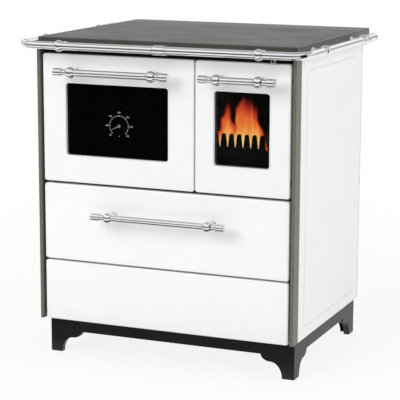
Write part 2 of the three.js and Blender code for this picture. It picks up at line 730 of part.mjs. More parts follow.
// ---------------------------------------------------------------- fire door
// The door swings to the right on two upright pins near its right edge.
const fireDoorMiddle = (fireDoorLeft + fireDoorRight) / 2;
const fireHingeX = fireDoorWidth / 2 - hingeInset;
const fireHingeZ = doorHeight / 2 - hingeFromEnd;
const fireDoor = addGroup(fireDoorMiddle, frontFace, doorMiddleZ);

function fireSlot(z) {
  const side = block(fireHingeX - lugHalfHeight - 0.5, fireDoorWidth, hingeDepth - lugHalfHeight - 4, 60,
    z - slotHalf, z + slotHalf);
  return side;
}

function fireEars(z) {
  const far = slotHalf + earThickness;
  const front = hingeDepth - earReach;
  const back = linerBack - frontFace - 1;
  const right = fireDoorWidth / 2 - frontRim - 0.5;
  return joined(block(fireHingeX - earReach, right, front, back, z - far, z - slotHalf),
    block(fireHingeX - earReach, right, front, back, z + slotHalf, z + far));
}

const uprightPinHole = rod('z', pinRadius + hingeClearance, -20, 20, 24);
const firePanel = without(windowedTray(fireDoorWidth, doorHeight, fireWindowWidth),
  studHoles(fireHandleSpan, doorHandleZ), fireSlot(-fireHingeZ), fireSlot(fireHingeZ));
addPiece('fire_door_panel', firePanel, 'whiteEnamel', fireDoor);
addPiece('fire_door_glass', glassPane(fireWindowWidth), 'darkGlass', fireDoor);
const fireLiner = without(
  joined(without(doorLiner(fireDoorWidth, doorHeight, fireWindowWidth), fireSlot(-fireHingeZ), fireSlot(fireHingeZ)),
    fireEars(-fireHingeZ), fireEars(fireHingeZ)),
  placed(uprightPinHole, fireHingeX, hingeDepth, -fireHingeZ),
  placed(uprightPinHole, fireHingeX, hingeDepth, fireHingeZ),
);
addPiece('fire_door_liner', fireLiner, 'castIron', fireDoor);
addPiece('fire_door_seal', doorSeal(fireDoorWidth, doorHeight), 'ropeSeal', fireDoor);
addHandle({ bar: 'fire_handle_bar', left: 'fire_handle_post_left', right: 'fire_handle_post_right' },
  fireHandleSpan, fireDoor, 0, doorHandleZ);

const uprightLug = hingeLug().rotate([0, 90, 0]);
const fireHinges = addGroup(fireDoorMiddle + fireHingeX, frontFace + hingeDepth, doorMiddleZ);
addPiece('fire_hinge_lower', uprightLug, 'sheetSteel', fireHinges).position.z = -fireHingeZ;
addPiece('fire_hinge_upper', uprightLug, 'sheetSteel', fireHinges).position.z = fireHingeZ;

// ---------------------------------------------------------------- oven
// An open-fronted sheet box with two pairs of ledges inside.
const ovenBack = chamberFront;
const ovenOuter = block(ovenLeft - ovenSheet, ovenRight + ovenSheet, insideFront, ovenBack,
  openingBottom - ovenSheet, openingTop + ovenSheet);
const ovenInner = block(ovenLeft, ovenRight, insideFront - 1, ovenBack - ovenSheet, openingBottom, openingTop);
const ledgeFront = insideFront + 8;
const ledgeBack = ovenBack - 12;

function ovenLedges(z) {
  return joined(block(ovenLeft - 1, ovenLeft + ledgeReach, ledgeFront, ledgeBack, z, z + ledgeThickness),
    block(ovenRight - ledgeReach, ovenRight + 1, ledgeFront, ledgeBack, z, z + ledgeThickness));
}

const bulbBottom = doorMiddleZ - dialDrop - bulbRadius;
const lowerLedge = bulbBottom - shelfBelowBulb - shelfWire - seat - ledgeThickness;
const ovenBox = joined(without(ovenOuter, ovenInner), ovenLedges(lowerLedge), ovenLedges(lowerLedge + upperShelfRise));
addPiece('oven_box', ovenBox, 'sheetSteel');

// Wire shelf: a square-wire rim with cross wires, resting on the lower pair of ledges.
const shelfLeft = ovenLeft + 2;
const shelfRight = ovenRight - 2;
const shelfFront = ledgeFront + 4;
const shelfBack = ledgeBack - 4;
const shelfZ = lowerLedge + ledgeThickness + seat;
let shelf = without(block(shelfLeft, shelfRight, shelfFront, shelfBack, shelfZ, shelfZ + shelfWire),
  block(shelfLeft + shelfWire, shelfRight - shelfWire, shelfFront + shelfWire, shelfBack - shelfWire,
    shelfZ - 1, shelfZ + shelfWire + 1));
for (let bar = 1; bar <= shelfBars; bar += 1) {
  const x = shelfLeft + (shelfRight - shelfLeft) * bar / (shelfBars + 1);
  shelf = joined(shelf, block(x - shelfWire / 2, x + shelfWire / 2, shelfFront + 1, shelfBack - 1,
    shelfZ + 0.5, shelfZ + shelfWire - 0.5));
}
addPiece('oven_shelf', shelf, 'chrome');

// ---------------------------------------------------------------- firebox
// Sheet casing open to the front and the top, its rear wall reaching up to the hob plate.
const casingLeft = fireLeft - casingSheet;
const casingRight = fireRight + casingSheet;
const casingFloor = openingBottom - seat;
const flapX = flueX;
const flapZ = openingTop - 14;
const flapY = chamberFront + flapStandoff;
const grateBottom = casingFloor + seat + ashPanHeight + grateClearance;
const grateTop = grateBottom + grateThickness;
const casingWalls = without(
  block(casingLeft, casingRight, insideFront, chamberFront, casingFloor - casingSheet, bodyTop),
  block(fireLeft, fireRight, insideFront - 1, chamberFront - casingSheet, casingFloor, bodyTop + 1),
  block(casingLeft - 1, fireLeft + 1, insideFront - 1, chamberFront - casingSheet, openingTop + ovenSheet, bodyTop + 1),
);
const casingRearTop = block(casingLeft, casingRight, chamberFront - casingSheet, chamberFront, bodyTop - 1, smokeTop);
const casingLedgeLeft = block(fireLeft - 1, fireLeft + 12, insideFront + 7, chamberFront - 1,
  grateBottom - seat - 3.5, grateBottom - seat);
const casingLedgeRight = block(fireRight - 12, fireRight + 1, insideFront + 7, chamberFront - 1,
  grateBottom - seat - 3.5, grateBottom - seat);
const flapOpening = block(flapX - flapWidth / 2 - flapGap, flapX + flapWidth / 2 + flapGap, chamberFront - 9,
  chamberFront + 9, flapZ - flapHeight / 2 - flapGap, flapZ + flapHeight / 2 + flapGap);
const lugInner = flapWidth / 2 + flapGap + 1;
const flapLugs = [-1, 1].map((side) => block(flapX + Math.min(side * lugInner, side * (lugInner + 5)),
  flapX + Math.max(side * lugInner, side * (lugInner + 5)), chamberFront - 1, flapY + flapSpindle + 3,
  flapZ - flapSpindle - 4, flapZ + flapSpindle + 4));
const spindleBore = placed(rod('x', flapSpindle + hingeClearance, -lugInner - 9, lugInner + 9, 24), flapX, flapY, flapZ);
const bladeDrop = rodZ - flapZ - crankLength * Math.cos(THREE.MathUtils.degToRad(crankLean));
const bladeBottom = rodZ - bladeDrop - crankPin - slotPlay - 3;
const rodNotch = block(rodX - bladeThickness / 2 - 1.5 - rodRadius, rodX + bladeThickness / 2 + 1.5 + rodRadius,
  chamberFront - 9, chamberFront + 9, bladeBottom - 0.5, smokeTop + 9);
const crankNotch = block(rodX - bladeThickness / 2 - slotPlay - 8, rodX, chamberFront - 9, chamberFront + 9,
  flapZ - 1, smokeTop + 9);
const casing = without(
  joined(casingWalls, casingRearTop, casingLedgeLeft, casingLedgeRight, ...flapLugs),
  flapOpening, spindleBore, rodNotch, crankNotch);
addPiece('firebox_casing', casing, 'castIron');

const brickBottom = grateTop + seat;
const brickFront = insideFront + 22;
const brickBack = chamberFront - casingSheet - seat;
const leftBrick = block(fireLeft + seat, fireLeft + seat + brickThickness, brickFront, brickBack,
  brickBottom, brickBottom + brickHeight);
addPiece('firebrick_left', leftBrick, 'firebrick');
const rightBrick = block(fireRight - seat - brickThickness, fireRight - seat, brickFront, brickBack,
  brickBottom, brickBottom + brickHeight);
addPiece('firebrick_right', rightBrick, 'firebrick');
const rearBrick = block(fireLeft + 2 * seat + brickThickness, fireRight - 2 * seat - brickThickness,
  brickBack - brickThickness, brickBack, brickBottom, brickBottom + rearBrickHeight);
addPiece('firebrick_rear', rearBrick, 'firebrick');

// Cast grate with rows of slots between the bricks.
const grateFront = insideFront + 2;
let grate = block(fireLeft + seat, fireRight - seat, grateFront, brickBack, grateBottom, grateTop);
const slotsLeft = fireLeft + brickThickness + 16;
const slotsRight = fireRight - brickThickness - 16;
const slotCount = Math.floor((slotsRight - slotsLeft) / 19);
const slotRun = (brickBack - brickThickness - brickFront - 60) / 2;
for (let row = 0; row < 2; row += 1) {
  for (let slot = 0; slot < slotCount; slot += 1) {
    const x = slotsLeft + (slotsRight - slotsLeft) * (slot + 0.5) / slotCount;
    const y = brickFront + 20 + row * (slotRun + 20);
    grate = without(grate, block(x - 4.5, x + 4.5, y, y + slotRun, grateBottom - 1, grateTop + 1));
  }
}
addPiece('grate', grate, 'castIron');

// Guard behind the fire door: a cast comb of tapered fingers with round tips.
const guardFoot = grateTop + seat;
const guardRoot = guardFoot + guardBase;
const guardLeft = fireLeft + 2;
const firstFinger = fireLeft + fingerInset;
const guardOutline = [[guardLeft, guardFoot]];
guardOutline.push([guardLeft, guardRoot - 8]);
for (let finger = 0; finger < fingerCount; finger += 1) {
  const x = firstFinger + finger * fingerPitch;
  guardOutline.push([x - fingerFoot, guardRoot]);
  for (let step = 0; step <= 5; step += 1) {
    const angle = Math.PI * (1 - step / 5);
    const round = fingerTip * Math.sin(angle);
    guardOutline.push([x + fingerTip * Math.cos(angle), guardRoot + fingerHeight - fingerTip + round]);
  }
  guardOutline.push([x + fingerFoot, guardRoot]);
}
const guardEnd = fireRight - 2;
const lastFinger = firstFinger + (fingerCount - 1) * fingerPitch;
guardOutline.push([lastFinger + fingerFoot + 12, guardRoot - 14], [guardEnd, guardRoot - 22], [guardEnd, guardFoot]);
guardOutline.reverse();
addPiece('fire_guard', upright(outlineOf(guardOutline), grateFront, grateFront + guardThickness), 'castIron');

// Ash pan on the floor of the casing, with a folded lip to pull it by.
const panLeft = fireLeft + 3;
const panRight = fireRight - 3;
const ashFront = insideFront + 10;
const ashBack = chamberFront - casingSheet - 12;
const ashBottom = casingFloor + seat;
const ashTop = ashBottom + ashPanHeight;
const ashPan = joined(
  without(block(panLeft, panRight, ashFront, ashBack, ashBottom, ashTop),
    block(panLeft + ashPanSheet, panRight - ashPanSheet, ashFront + ashPanSheet, ashBack - ashPanSheet,
      ashBottom + ashPanSheet, ashTop + 1)),
  block(flueX - 35, flueX + 35, ashFront - 8, ashFront + 1, ashTop - 2, ashTop),
  block(flueX - 35, flueX + 35, ashFront - 8, ashFront - 6, ashTop - 10, ashTop),
);
addPiece('ash_pan', ashPan, 'sheetSteel');

// ---------------------------------------------------------------- draught rod and flue flap
// Pulling the knob draws the slotted blade over the crank pin and turns the flap in its opening.
const crankReach = crankLength * Math.sin(THREE.MathUtils.degToRad(crankLean));
const crankRise = crankLength * Math.cos(THREE.MathUtils.degToRad(crankLean));
const flapGroup = addGroup(flapX, flapY, flapZ);
const crankX = rodX - flapX - bladeThickness / 2 - slotPlay - 7;
const flapPlate = block(-flapWidth / 2, flapWidth / 2, -1.5, 1.5, -flapHeight / 2, flapHeight / 2);
const spindle = rod('x', flapSpindle, -lugInner - 7, crankX + 3, 24);
const crankHalf = 3.5;
const armSide = [crankHalf * Math.cos(THREE.MathUtils.degToRad(crankLean)), crankHalf * crankReach / crankLength];
const armOutline = [[-armSide[0], armSide[1]], [armSide[0], -armSide[1]]];
armOutline.push([crankReach + armSide[0], crankRise - armSide[1]], [crankReach - armSide[0], crankRise + armSide[1]]);
const crankArm = sideways(outlineOf(armOutline), crankX, crankX + 3);
const pinEnd = rodX - flapX + bladeThickness / 2 + 2;
const crankStub = placed(rod('x', crankPin, crankX + 1, pinEnd, 16), 0, crankReach, crankRise);
addPiece('flue_flap', joined(flapPlate, spindle, crankArm, crankStub), 'castIron', flapGroup);

const rodGroup = addGroup(rodX, 0, rodZ);
const knobFront = -knobLength + 2;
const pinY = flapY + crankReach;
const knobProfile = [[0, knobFront], [knobRadius - 2, knobFront], [knobRadius, knobFront + 2]];
knobProfile.push([knobRadius, 0], [knobRadius - 2, 2], [rodRadius, 2], [rodRadius, pinY - 9], [0, pinY - 9]);
const bladeTop = rodRadius;
const bladeLow = bladeBottom - rodZ;
const blade = block(-bladeThickness / 2, bladeThickness / 2, pinY - 11, pinY + 9, bladeLow, bladeTop);
const slotLow = crankRise + flapZ - rodZ - crankPin - slotPlay;
const slotHigh = crankLength + flapZ - rodZ + crankPin + slotPlay;
const bladeSlot = block(-9, 9, pinY - crankPin - slotPlay, pinY + crankPin + slotPlay, slotLow, slotHigh);
addPiece('draught_rod', without(joined(turned(knobProfile, 16, 'y'), blade), bladeSlot), 'sheetSteel', rodGroup);

// ---------------------------------------------------------------- drawer
// The drawer slides on two rails on the floor of its bay. Its front plate closes the pressed front.
const drawerGroup = addGroup(0, frontFace, (drawerBottom + drawerTop) / 2);
const drawerFrontWidth = frontHalf * 2;
const drawerHandleZ = drawerFrontHeight / 2 - drawerHandleDrop;
const drawerPanel = without(frontTray(drawerFrontWidth, drawerFrontHeight), studHoles(drawerHandleSpan, drawerHandleZ));
addPiece('drawer_front', drawerPanel, 'whiteEnamel', drawerGroup);
addHandle({ bar: 'drawer_handle_bar', left: 'drawer_handle_post_left', right: 'drawer_handle_post_right' },
  drawerHandleSpan, drawerGroup, 0, drawerHandleZ);

const bayFloor = drawerOpeningBottom - sheet;
const drawerLow = bayFloor + sheet + runnerHeight + seat;
const drawerHalf = drawerOpeningHalf - drawerSideGap;
const drawerRear = rearPanelFront - drawerRearGap;
const plateLow = drawerBottom + linerInset;
const plateHigh = drawerTop - linerInset;
const drawerBox = joined(
  without(block(-drawerHalf, drawerHalf, linerFront, drawerRear, drawerLow, drawerLow + drawerHeight),
    block(-drawerHalf + drawerSheet, drawerHalf - drawerSheet, linerBack, drawerRear - drawerSheet,
      drawerLow + drawerSheet, drawerLow + drawerHeight + 1)),
  block(-frontHalf + linerInset, frontHalf - linerInset, linerFront, linerBack, plateLow, plateHigh),
);
addPiece('drawer_box', drawerBox, 'sheetSteel');

const bayBack = rearPanelFront - seat;
const bayRailX = drawerHalf - 25;
const drawerBay = joined(
  without(block(-drawerOpeningHalf - sheet, drawerOpeningHalf + sheet, insideFront, bayBack, bayFloor, drawerOpeningTop),
    block(-drawerOpeningHalf, drawerOpeningHalf, insideFront - 1, bayBack + 1, bayFloor + sheet, drawerOpeningTop + 1)),
  block(-bayRailX - runnerWidth, -bayRailX, insideFront, bayBack, bayFloor + 1, drawerLow - seat),
  block(bayRailX, bayRailX + runnerWidth, insideFront, bayBack, bayFloor + 1, drawerLow - seat),
);
addPiece('drawer_bay', drawerBay, 'sheetSteel');

// ---------------------------------------------------------------- lower panel
// A pressed panel on four spacers that reach back to the side bars of the front frame.
const lowerGroup = addGroup(0, frontFace, (bodyBottom + lowerPanelTop) / 2);
const spacerX = (drawerOpeningHalf + frontHalf) / 2 - 2;
const spacerZ = lowerPanelHeight / 2 - 20;
const spacer = rod('y', 5, 1, lugBack, 12);
const spacers = [[-1, -1], [1, -1], [-1, 1], [1, 1]].map(([sx, sz]) => placed(spacer, sx * spacerX, 0, sz * spacerZ));
addPiece('lower_panel', joined(frontTray(frontHalf * 2, lowerPanelHeight), ...spacers), 'whiteEnamel', lowerGroup);

// ---------------------------------------------------------------- hand rail
// Two bent tubes meet in a sleeve at the front. The path is a straight, a quarter turn, a straight.
class RailPath extends THREE.Curve {
  constructor(stations) {
    super();
    this.stations = stations;
  }

  getPoint(t) {
    const last = this.stations.length - 1;
    const place = Math.min(Math.max(t, 0), 1) * last;
    const index = Math.min(Math.floor(place), last - 1);
    return new THREE.Vector3().lerpVectors(this.stations[index], this.stations[index + 1], place - index);
  }

  getPointAt(u) {
    return this.getPoint(u);
  }

  getTangentAt(u) {
    const step = 0.5 / (this.stations.length - 1);
    return this.getPoint(u + step).sub(this.getPoint(u - step)).normalize();
  }
}

const railZ = topFace - railDrop;
const railSide = topHalf + railSideReach;
const railEnd = topDepth - railEndInset;
const bendX = railSide - railBendRadius;
const bendY = -railReach + railBendRadius;

function railTube(from) {
  const stations = [new THREE.Vector3(from, -railReach, 0)];
  for (let step = 0; step <= 8; step += 1) {
    const angle = -Math.PI / 2 + step / 8 * Math.PI / 2;
    stations.push(new THREE.Vector3(bendX + railBendRadius * Math.cos(angle), bendY + railBendRadius * Math.sin(angle), 0));
  }
  stations.push(new THREE.Vector3(railSide, railEnd - finialLength + 5, 0));
  const ring = [];
  for (let side = 0; side < 14; side += 1) {
    const angle = side / 14 * Math.PI * 2;
    ring.push([railRadius * Math.cos(angle), railRadius * Math.sin(angle)]);
  }
  const settings = { steps: stations.length - 1, bevelEnabled: false, extrudePath: new RailPath(stations) };
  return solid(new THREE.ExtrudeGeometry(outlineOf(ring), settings));
}

const finialEnd = finialLength;
const finialProfile = [[0, 0], [railRadius + 0.5, 0], [finialRadius, 2], [finialRadius, finialEnd - 16]];
finialProfile.push([finialRadius - 1.2, finialEnd - 15], [finialRadius - 1.2, finialEnd - 13]);
finialProfile.push([finialRadius, finialEnd - 12], [finialRadius, finialEnd - 3], [finialRadius - 3, finialEnd], [0, finialEnd]);
const finial = placed(turned(finialProfile, 16, 'y'), railSide, railEnd - finialLength, 0);
const rail = addGroup(0, 0, railZ);
addPiece('rail_tube_right', joined(railTube(sleeveCentre + seat / 2), finial), 'chrome', rail);
const leftTube = joined(railTube(-sleeveCentre + seat / 2), finial).mirror([1, 0, 0]);
addPiece('rail_tube_left', leftTube, 'chrome', rail);

const sleeveInner = railRadius + seat;
const sleeveOuter = sleeveInner + sleeveWall;
const sleeveHalf = sleeveLength / 2;
const sleeveProfile = [[sleeveInner, -sleeveHalf], [sleeveOuter, -sleeveHalf], [sleeveOuter, sleeveHalf - 6]];
sleeveProfile.push([sleeveOuter - 1.2, sleeveHalf - 5.5], [sleeveOuter - 1.2, sleeveHalf - 3.5]);
sleeveProfile.push([sleeveOuter, sleeveHalf - 3], [sleeveOuter, sleeveHalf], [sleeveInner, sleeveHalf]);
sleeveProfile.push([sleeveInner, -sleeveHalf]);
const sleeve = turned(sleeveProfile, 20, 'x');
addPiece('rail_sleeve', sleeve, 'chrome', rail).position.set(sleeveCentre, -railReach, 0);

function railBracket(reach) {
  return ballPost(railBallRadius, railStandoffRadius, railRosetteRadius, railRosetteHeight, reach, 0, 0,
    railRadius + seat);
}

const frontBallX = topHalf - railFrontBallInset;
const rearBallY = topDepth - railRearBallInset;
const frontBracket = railBracket(railReach);
const sideBracket = railBracket(railSideReach);
addPiece('rail_bracket_front_left', frontBracket, 'chrome', rail).position.set(-frontBallX, -railReach, 0);
addPiece('rail_bracket_front_right', frontBracket, 'chrome', rail).position.set(frontBallX, -railReach, 0);

function addSideBracket(name, side, y) {
  const mesh = addPiece(name, sideBracket, 'chrome', rail);
  mesh.position.set(side * railSide, y, 0);
  mesh.rotation.z = side * Math.PI / 2;
}

addSideBracket('rail_bracket_right_front', 1, railFirstSideBall);
addSideBracket('rail_bracket_right_rear', 1, rearBallY);
addSideBracket('rail_bracket_left_front', -1, railFirstSideBall);
addSideBracket('rail_bracket_left_rear', -1, rearBallY);

// ---------------------------------------------------------------- origin
// The front rail balls reach furthest forward and the top reaches furthest back.
const foremost = -railReach - railBallRadius;
stove.position.y = -(foremost + topDepth) / 2;
stove.updateMatrixWorld(true);

export default stove;
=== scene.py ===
"""Looks of the wood cookstove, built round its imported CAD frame.

Shapes are worked out in millimetres on the stove's own layout: X runs along the front, Y = 0 is the front
edge of the hob top and grows towards the rear, Z = 0 is the floor. One function moves them into the frame,
in metres.
"""

import json
import math

import bmesh
import bpy
import numpy as np
from bpy.props import FloatProperty, FloatVectorProperty, IntProperty, PointerProperty
from bpy.types import Operator, Panel, PropertyGroup
from mathutils import Matrix, Vector


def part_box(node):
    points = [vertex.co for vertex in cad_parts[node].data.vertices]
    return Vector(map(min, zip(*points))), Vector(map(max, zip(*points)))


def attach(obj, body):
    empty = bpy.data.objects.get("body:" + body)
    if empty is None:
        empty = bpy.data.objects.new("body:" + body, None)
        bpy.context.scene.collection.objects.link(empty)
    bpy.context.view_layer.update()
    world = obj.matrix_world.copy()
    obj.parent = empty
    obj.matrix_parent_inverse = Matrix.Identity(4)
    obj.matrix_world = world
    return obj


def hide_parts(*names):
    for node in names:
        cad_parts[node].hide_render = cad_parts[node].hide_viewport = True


bl_info = {
    "name": "Wood cookstove",
    "version": (1, 0, 0),
    "blender": (4, 5, 0),
    "location": "3D View > Sidebar > Cookstove",
    "description": "Builds the enamelled wood cookstove, its finishes and its studio round the CAD frame",
    "category": "Add Mesh",
}

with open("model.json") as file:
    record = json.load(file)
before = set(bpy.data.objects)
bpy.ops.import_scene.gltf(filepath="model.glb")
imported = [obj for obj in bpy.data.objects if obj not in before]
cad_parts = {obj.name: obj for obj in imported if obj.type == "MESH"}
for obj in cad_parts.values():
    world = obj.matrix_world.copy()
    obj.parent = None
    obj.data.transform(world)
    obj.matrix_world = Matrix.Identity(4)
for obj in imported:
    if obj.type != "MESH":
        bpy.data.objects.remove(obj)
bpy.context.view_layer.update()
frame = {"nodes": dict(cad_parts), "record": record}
BODY_OF = {node: body for body, nodes in frame["record"]["behaviour"]["bodies"].items() for node in nodes}
FRONT_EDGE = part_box("top_frame")[0].y * 1000


# ---------------------------------------------------------------- sizes and colours a user may change
def linear(hex_colour):
    """Linear RGB of an sRGB hex colour: c / 12.92 below 0.04045, else ((c + 0.055) / 1.055) ** 2.4."""
    channels = np.array([int(hex_colour[i : i + 2], 16) for i in (1, 3, 5)]) / 255
    return tuple(
        np.where(channels <= 0.04045, channels / 12.92, ((channels + 0.055) / 1.055) ** 2.4).tolist()
    )


def colour(name, text, hex_colour):
    return FloatVectorProperty(
        name=name, description=text, subtype="COLOR", size=3, min=0, max=1, default=linear(hex_colour)
    )


def length(name, text, metres, low=0.0001, high=1.0):
    return FloatProperty(
        name=name, description=text, default=metres, min=low, max=high, subtype="DISTANCE", unit="LENGTH"
    )


class StoveFinishes(PropertyGroup):
    """Colours of the stove's finishes."""

    enamel: colour("Enamel", "Fired white enamel of doors, drawer and sides", "#F3F4F5")
    olive: colour("Olive coat", "Satin coat of the corner posts", "#65655B")
    rim: colour("Hob frame", "Coat of the cast frame round the hob", "#3F4039")
    hob: colour("Hob plate", "Heat-proof coat of the hob plate and its lids", "#4C4C4C")
    plinth: colour("Plinth", "Black paint of the plinth and the front frame", "#0C0D0E")
    chrome: colour("Chrome", "Plated rail and handles", "#F0F1F2")
    print_white: colour("Dial print", "Scale and numbers of the oven thermometer", "#B9BBB7")
    brick: colour("Firebrick", "Pressed lining bricks, where no soot lies", "#A08A68")
    iron: colour("Cast iron", "Grate, guard and firebox", "#090C0B")


class StoveSizes(PropertyGroup):
    """Small sizes of pressed, turned and bent pieces."""

    panel_roll: length("Panel roll", "Width of the rounded border of each pressed front", 0.005)
    panel_roll_depth: length("Roll depth", "How far that border falls back", 0.0036)
    window_roll: length("Window roll", "Radius of the edge turned in at each window", 0.0032)
    field_slope: length("Field slope", "Width of the groove and slope round the raised side field", 0.008)
    top_roll: length("Top roll", "Radius of the upper edge of the hob frame", 0.003)
    bar: length("Handle bar", "Radius of each handle bar between its balls", 0.009)
    neck: length("Handle neck", "Radius of the bar between ball and end sleeve", 0.008)
    sides: IntProperty(
        name="Turned sides", description="Faces round each turned piece", default=48, min=12, max=128
    )


class StoveFire(PropertyGroup):
    """The fire behind the glass."""

    glow: FloatProperty(
        name="Glow", description="Strength of the flames, 1 shows their colours", default=1.0, min=0, max=5
    )
    root: colour("Root", "Flame just over the embers", "#FFE79A")
    middle: colour("Middle", "Body of the flames", "#F58A3C")
    tip: colour("Tip", "Tips of the flames", "#A8321E")


class StoveStudio(PropertyGroup):
    """Lamps and surroundings."""

    ambient: FloatProperty(
        name="Ambient", description="Light from all round on dull surfaces", default=0.42, min=0, max=1
    )
    key: FloatProperty(
        name="Key lamp", description="Large lamp in front, to the left", default=104.0, min=0, unit="POWER"
    )
    fill: FloatProperty(
        name="Fill lamp", description="Large lamp at the right", default=47.0, min=0, unit="POWER"
    )
    overhead: FloatProperty(
        name="Top lamp", description="Lamp above the hob", default=22.0, min=0, unit="POWER"
    )
    floor: colour("Floor", "Pale studio floor", "#F2F2F1")


# ---------------------------------------------------------------- points, loops and skins
def extent(node):
    """Lowest and highest corner of a CAD node, in layout millimetres."""
    return [np.array(corner) * 1000 - (0, FRONT_EDGE, 0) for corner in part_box(node)]


def to_frame(points):
    return (np.asarray(points, float).reshape(-1, 3) + (0, FRONT_EDGE, 0)) / 1000


def round_rectangle(x0, x1, y0, y1, radius, steps=8):
    """Closed outline: each corner's centre plus radius * (cos a, sin a), with a over that corner's quarter
    turn."""
    angle = (np.arange(4)[:, None] + np.linspace(0, 1, steps)[None]) * math.pi / 2
    centre_x = np.array([x1 - radius, x0 + radius, x0 + radius, x1 - radius])[:, None]
    centre_y = np.array([y1 - radius, y1 - radius, y0 + radius, y0 + radius])[:, None]
    return np.stack([centre_x + radius * np.cos(angle), centre_y + radius * np.sin(angle)], -1).reshape(-1, 2)


def eased(profile, reach, steps=6):
    """Profile with its corners rounded: each inner corner C becomes (1-t)^2 A + 2t(1-t) C + t^2 B, where A
    and B lie on its two sides, a reach away or half a side where that is shorter."""
    points = np.asarray(profile, float)
    sides = np.diff(points, axis=0)
    run = np.linalg.norm(sides, axis=1, keepdims=True)
    ways = sides / run
    corner = points[1:-1]
    before = corner - ways[:-1] * np.minimum(reach, run[:-1] * 0.49)
    after = corner + ways[1:] * np.minimum(reach, run[1:] * 0.49)
    t = np.linspace(0, 1, steps)[None, :, None]
    curve = (1 - t) ** 2 * before[:, None] + 2 * t * (1 - t) * corner[:, None] + t**2 * after[:, None]
    return np.concatenate([points[:1], curve.reshape(-1, 2), points[-1:]])


def quarter(width, depth, steps=7):
    """Rounded edge as (inset, fall): inset = width (1 - cos t), fall = depth (1 - sin t), t over a quarter
    turn."""
    t = np.linspace(0, math.pi / 2, steps)
    return np.stack([width * (1 - np.cos(t)), depth * (1 - np.sin(t))], -1)


def turned(profile, centre, axis="y", sides=None):
    """Surface of revolution: centre + along * axis + radius * (cos a, sin a) across it, a over a whole
    turn."""
    profile = np.asarray(profile, float)
    angle = np.arange(sides or bpy.context.scene.stove_sizes.sides) * 2 * math.pi
    angle = angle / len(angle)
    one, two, main = {"x": (1, 2, 0), "y": (2, 0, 1), "z": (0, 1, 2)}[axis]
    points = np.zeros((len(profile), len(angle), 3))
    points[..., main] = profile[:, 1, None]
    points[..., one] = profile[:, 0, None] * np.cos(angle)
    points[..., two] = profile[:, 0, None] * np.sin(angle)
    return points + np.asarray(centre, float)


def carried(path, radius, sides=24):
    """Round tube along a level path: path + radius (cos a * N + sin a * Z), with N square to the path and
    level."""
    path = np.asarray(path, float)
    ahead = np.gradient(path, axis=0)
    ahead /= np.linalg.norm(ahead, axis=1, keepdims=True)
    across = np.stack([-ahead[:, 1], ahead[:, 0], np.zeros(len(path))], -1)
    angle = np.arange(sides) * 2 * math.pi / sides
    radius = np.broadcast_to(radius, len(path))[:, None, None]
    return path[:, None] + radius * (
        np.cos(angle)[None, :, None] * across[:, None] + np.sin(angle)[None, :, None] * np.array([0, 0, 1.0])
    )


def grid_quads(rows, cols, loop_rows=False):
    """Quads between neighbouring rows. Columns always close on themselves, rows only where they form a
    ring."""
    i = np.arange(rows if loop_rows else rows - 1)[:, None]
    j = np.arange(cols)[None, :]
    below, beside = (i + 1) % rows, (j + 1) % cols
    return np.stack(
        [i * cols + j, i * cols + beside, below * cols + beside, below * cols + j], -1
    ).reshape(-1, 4)


def grid_lie(rows, cols, loop_rows=False):
    """Place of each quad corner on the grid, (column, row) as shares of the whole, for patterns that follow
    it."""
    i = np.arange(rows if loop_rows else rows - 1)[:, None] + 0 * np.arange(cols)[None, :]
    j = np.arange(cols)[None, :] + 0 * i
    corners = np.stack(
        [np.stack(pair, -1) for pair in ((j, i), (j + 1, i), (j + 1, i + 1), (j, i + 1))], axis=2
    )
    return corners.reshape(-1, 2) / (cols, max(rows - 1, 1))


def skin(name, shells, material, attributes=None, sharp=38, weighted=True):
    """Closed piece from grids of points. Each shell is (rows, cols, 3), closed round its columns; its ends
    get a flat face each, or the last row meets the first where the shell is given as a pair with True."""
    points, faces, lie, start = [], [], [], 0
    for shell in shells:
        grid, ring = shell if isinstance(shell, tuple) else (shell, False)
        rows, cols = grid.shape[:2]
        faces += (grid_quads(rows, cols, ring) + start).tolist()
        lie.append(grid_lie(rows, cols, ring))
        if not ring:
            faces += [
                list(range(start, start + cols)), list(range(start + (rows - 1) * cols, start + rows * cols))
            ]
            lie.append(np.zeros((2 * cols, 2)))
        points.append(grid.reshape(-1, 3))
        start += rows * cols
    mesh = bpy.data.meshes.new(name)
    mesh.from_pydata(to_frame(np.concatenate(points)).tolist(), [], faces)
    layer = mesh.uv_layers.new(name="lie")
    layer.data.foreach_set("uv", np.concatenate(lie).astype(np.float32).ravel())
    for key, values in (attributes or {}).items():
        mesh.attributes.new(key, "FLOAT", "POINT").data.foreach_set(
            "value", np.asarray(values, np.float32).ravel()
        )
    return settle(mesh, name, material, sharp, weighted)


def settle(mesh, name, material, sharp=38, weighted=True):
    """Merges doubles, turns faces outwards, marks sharp edges and puts the piece into the scene."""
    work = bmesh.new()
    work.from_mesh(mesh)
    bmesh.ops.remove_doubles(work, verts=work.verts, dist=2e-6)
    bmesh.ops.dissolve_degenerate(work, edges=work.edges, dist=1e-7)
    bmesh.ops.recalc_face_normals(work, faces=work.faces)
    work.to_mesh(mesh)
    work.free()
    mesh.polygons.foreach_set("use_smooth", np.ones(len(mesh.polygons), bool))
    mesh.set_sharp_from_angle(angle=math.radians(sharp))
    mesh.materials.append(material)
    piece = bpy.data.objects.new(name, mesh)
    bpy.context.scene.collection.objects.link(piece)
    if weighted:
        modifier = piece.modifiers.new("even faces", "WEIGHTED_NORMAL")
        modifier.keep_sharp = True
    return piece


def stands_for(piece, *nodes):
    """The piece rides as the CAD nodes do that it stands for, and hides them."""
    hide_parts(*nodes)
    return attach(piece, BODY_OF[nodes[0]])


def joins(piece, body):
    """A piece that the CAD doesn't have rides on a body."""
    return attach(piece, body)


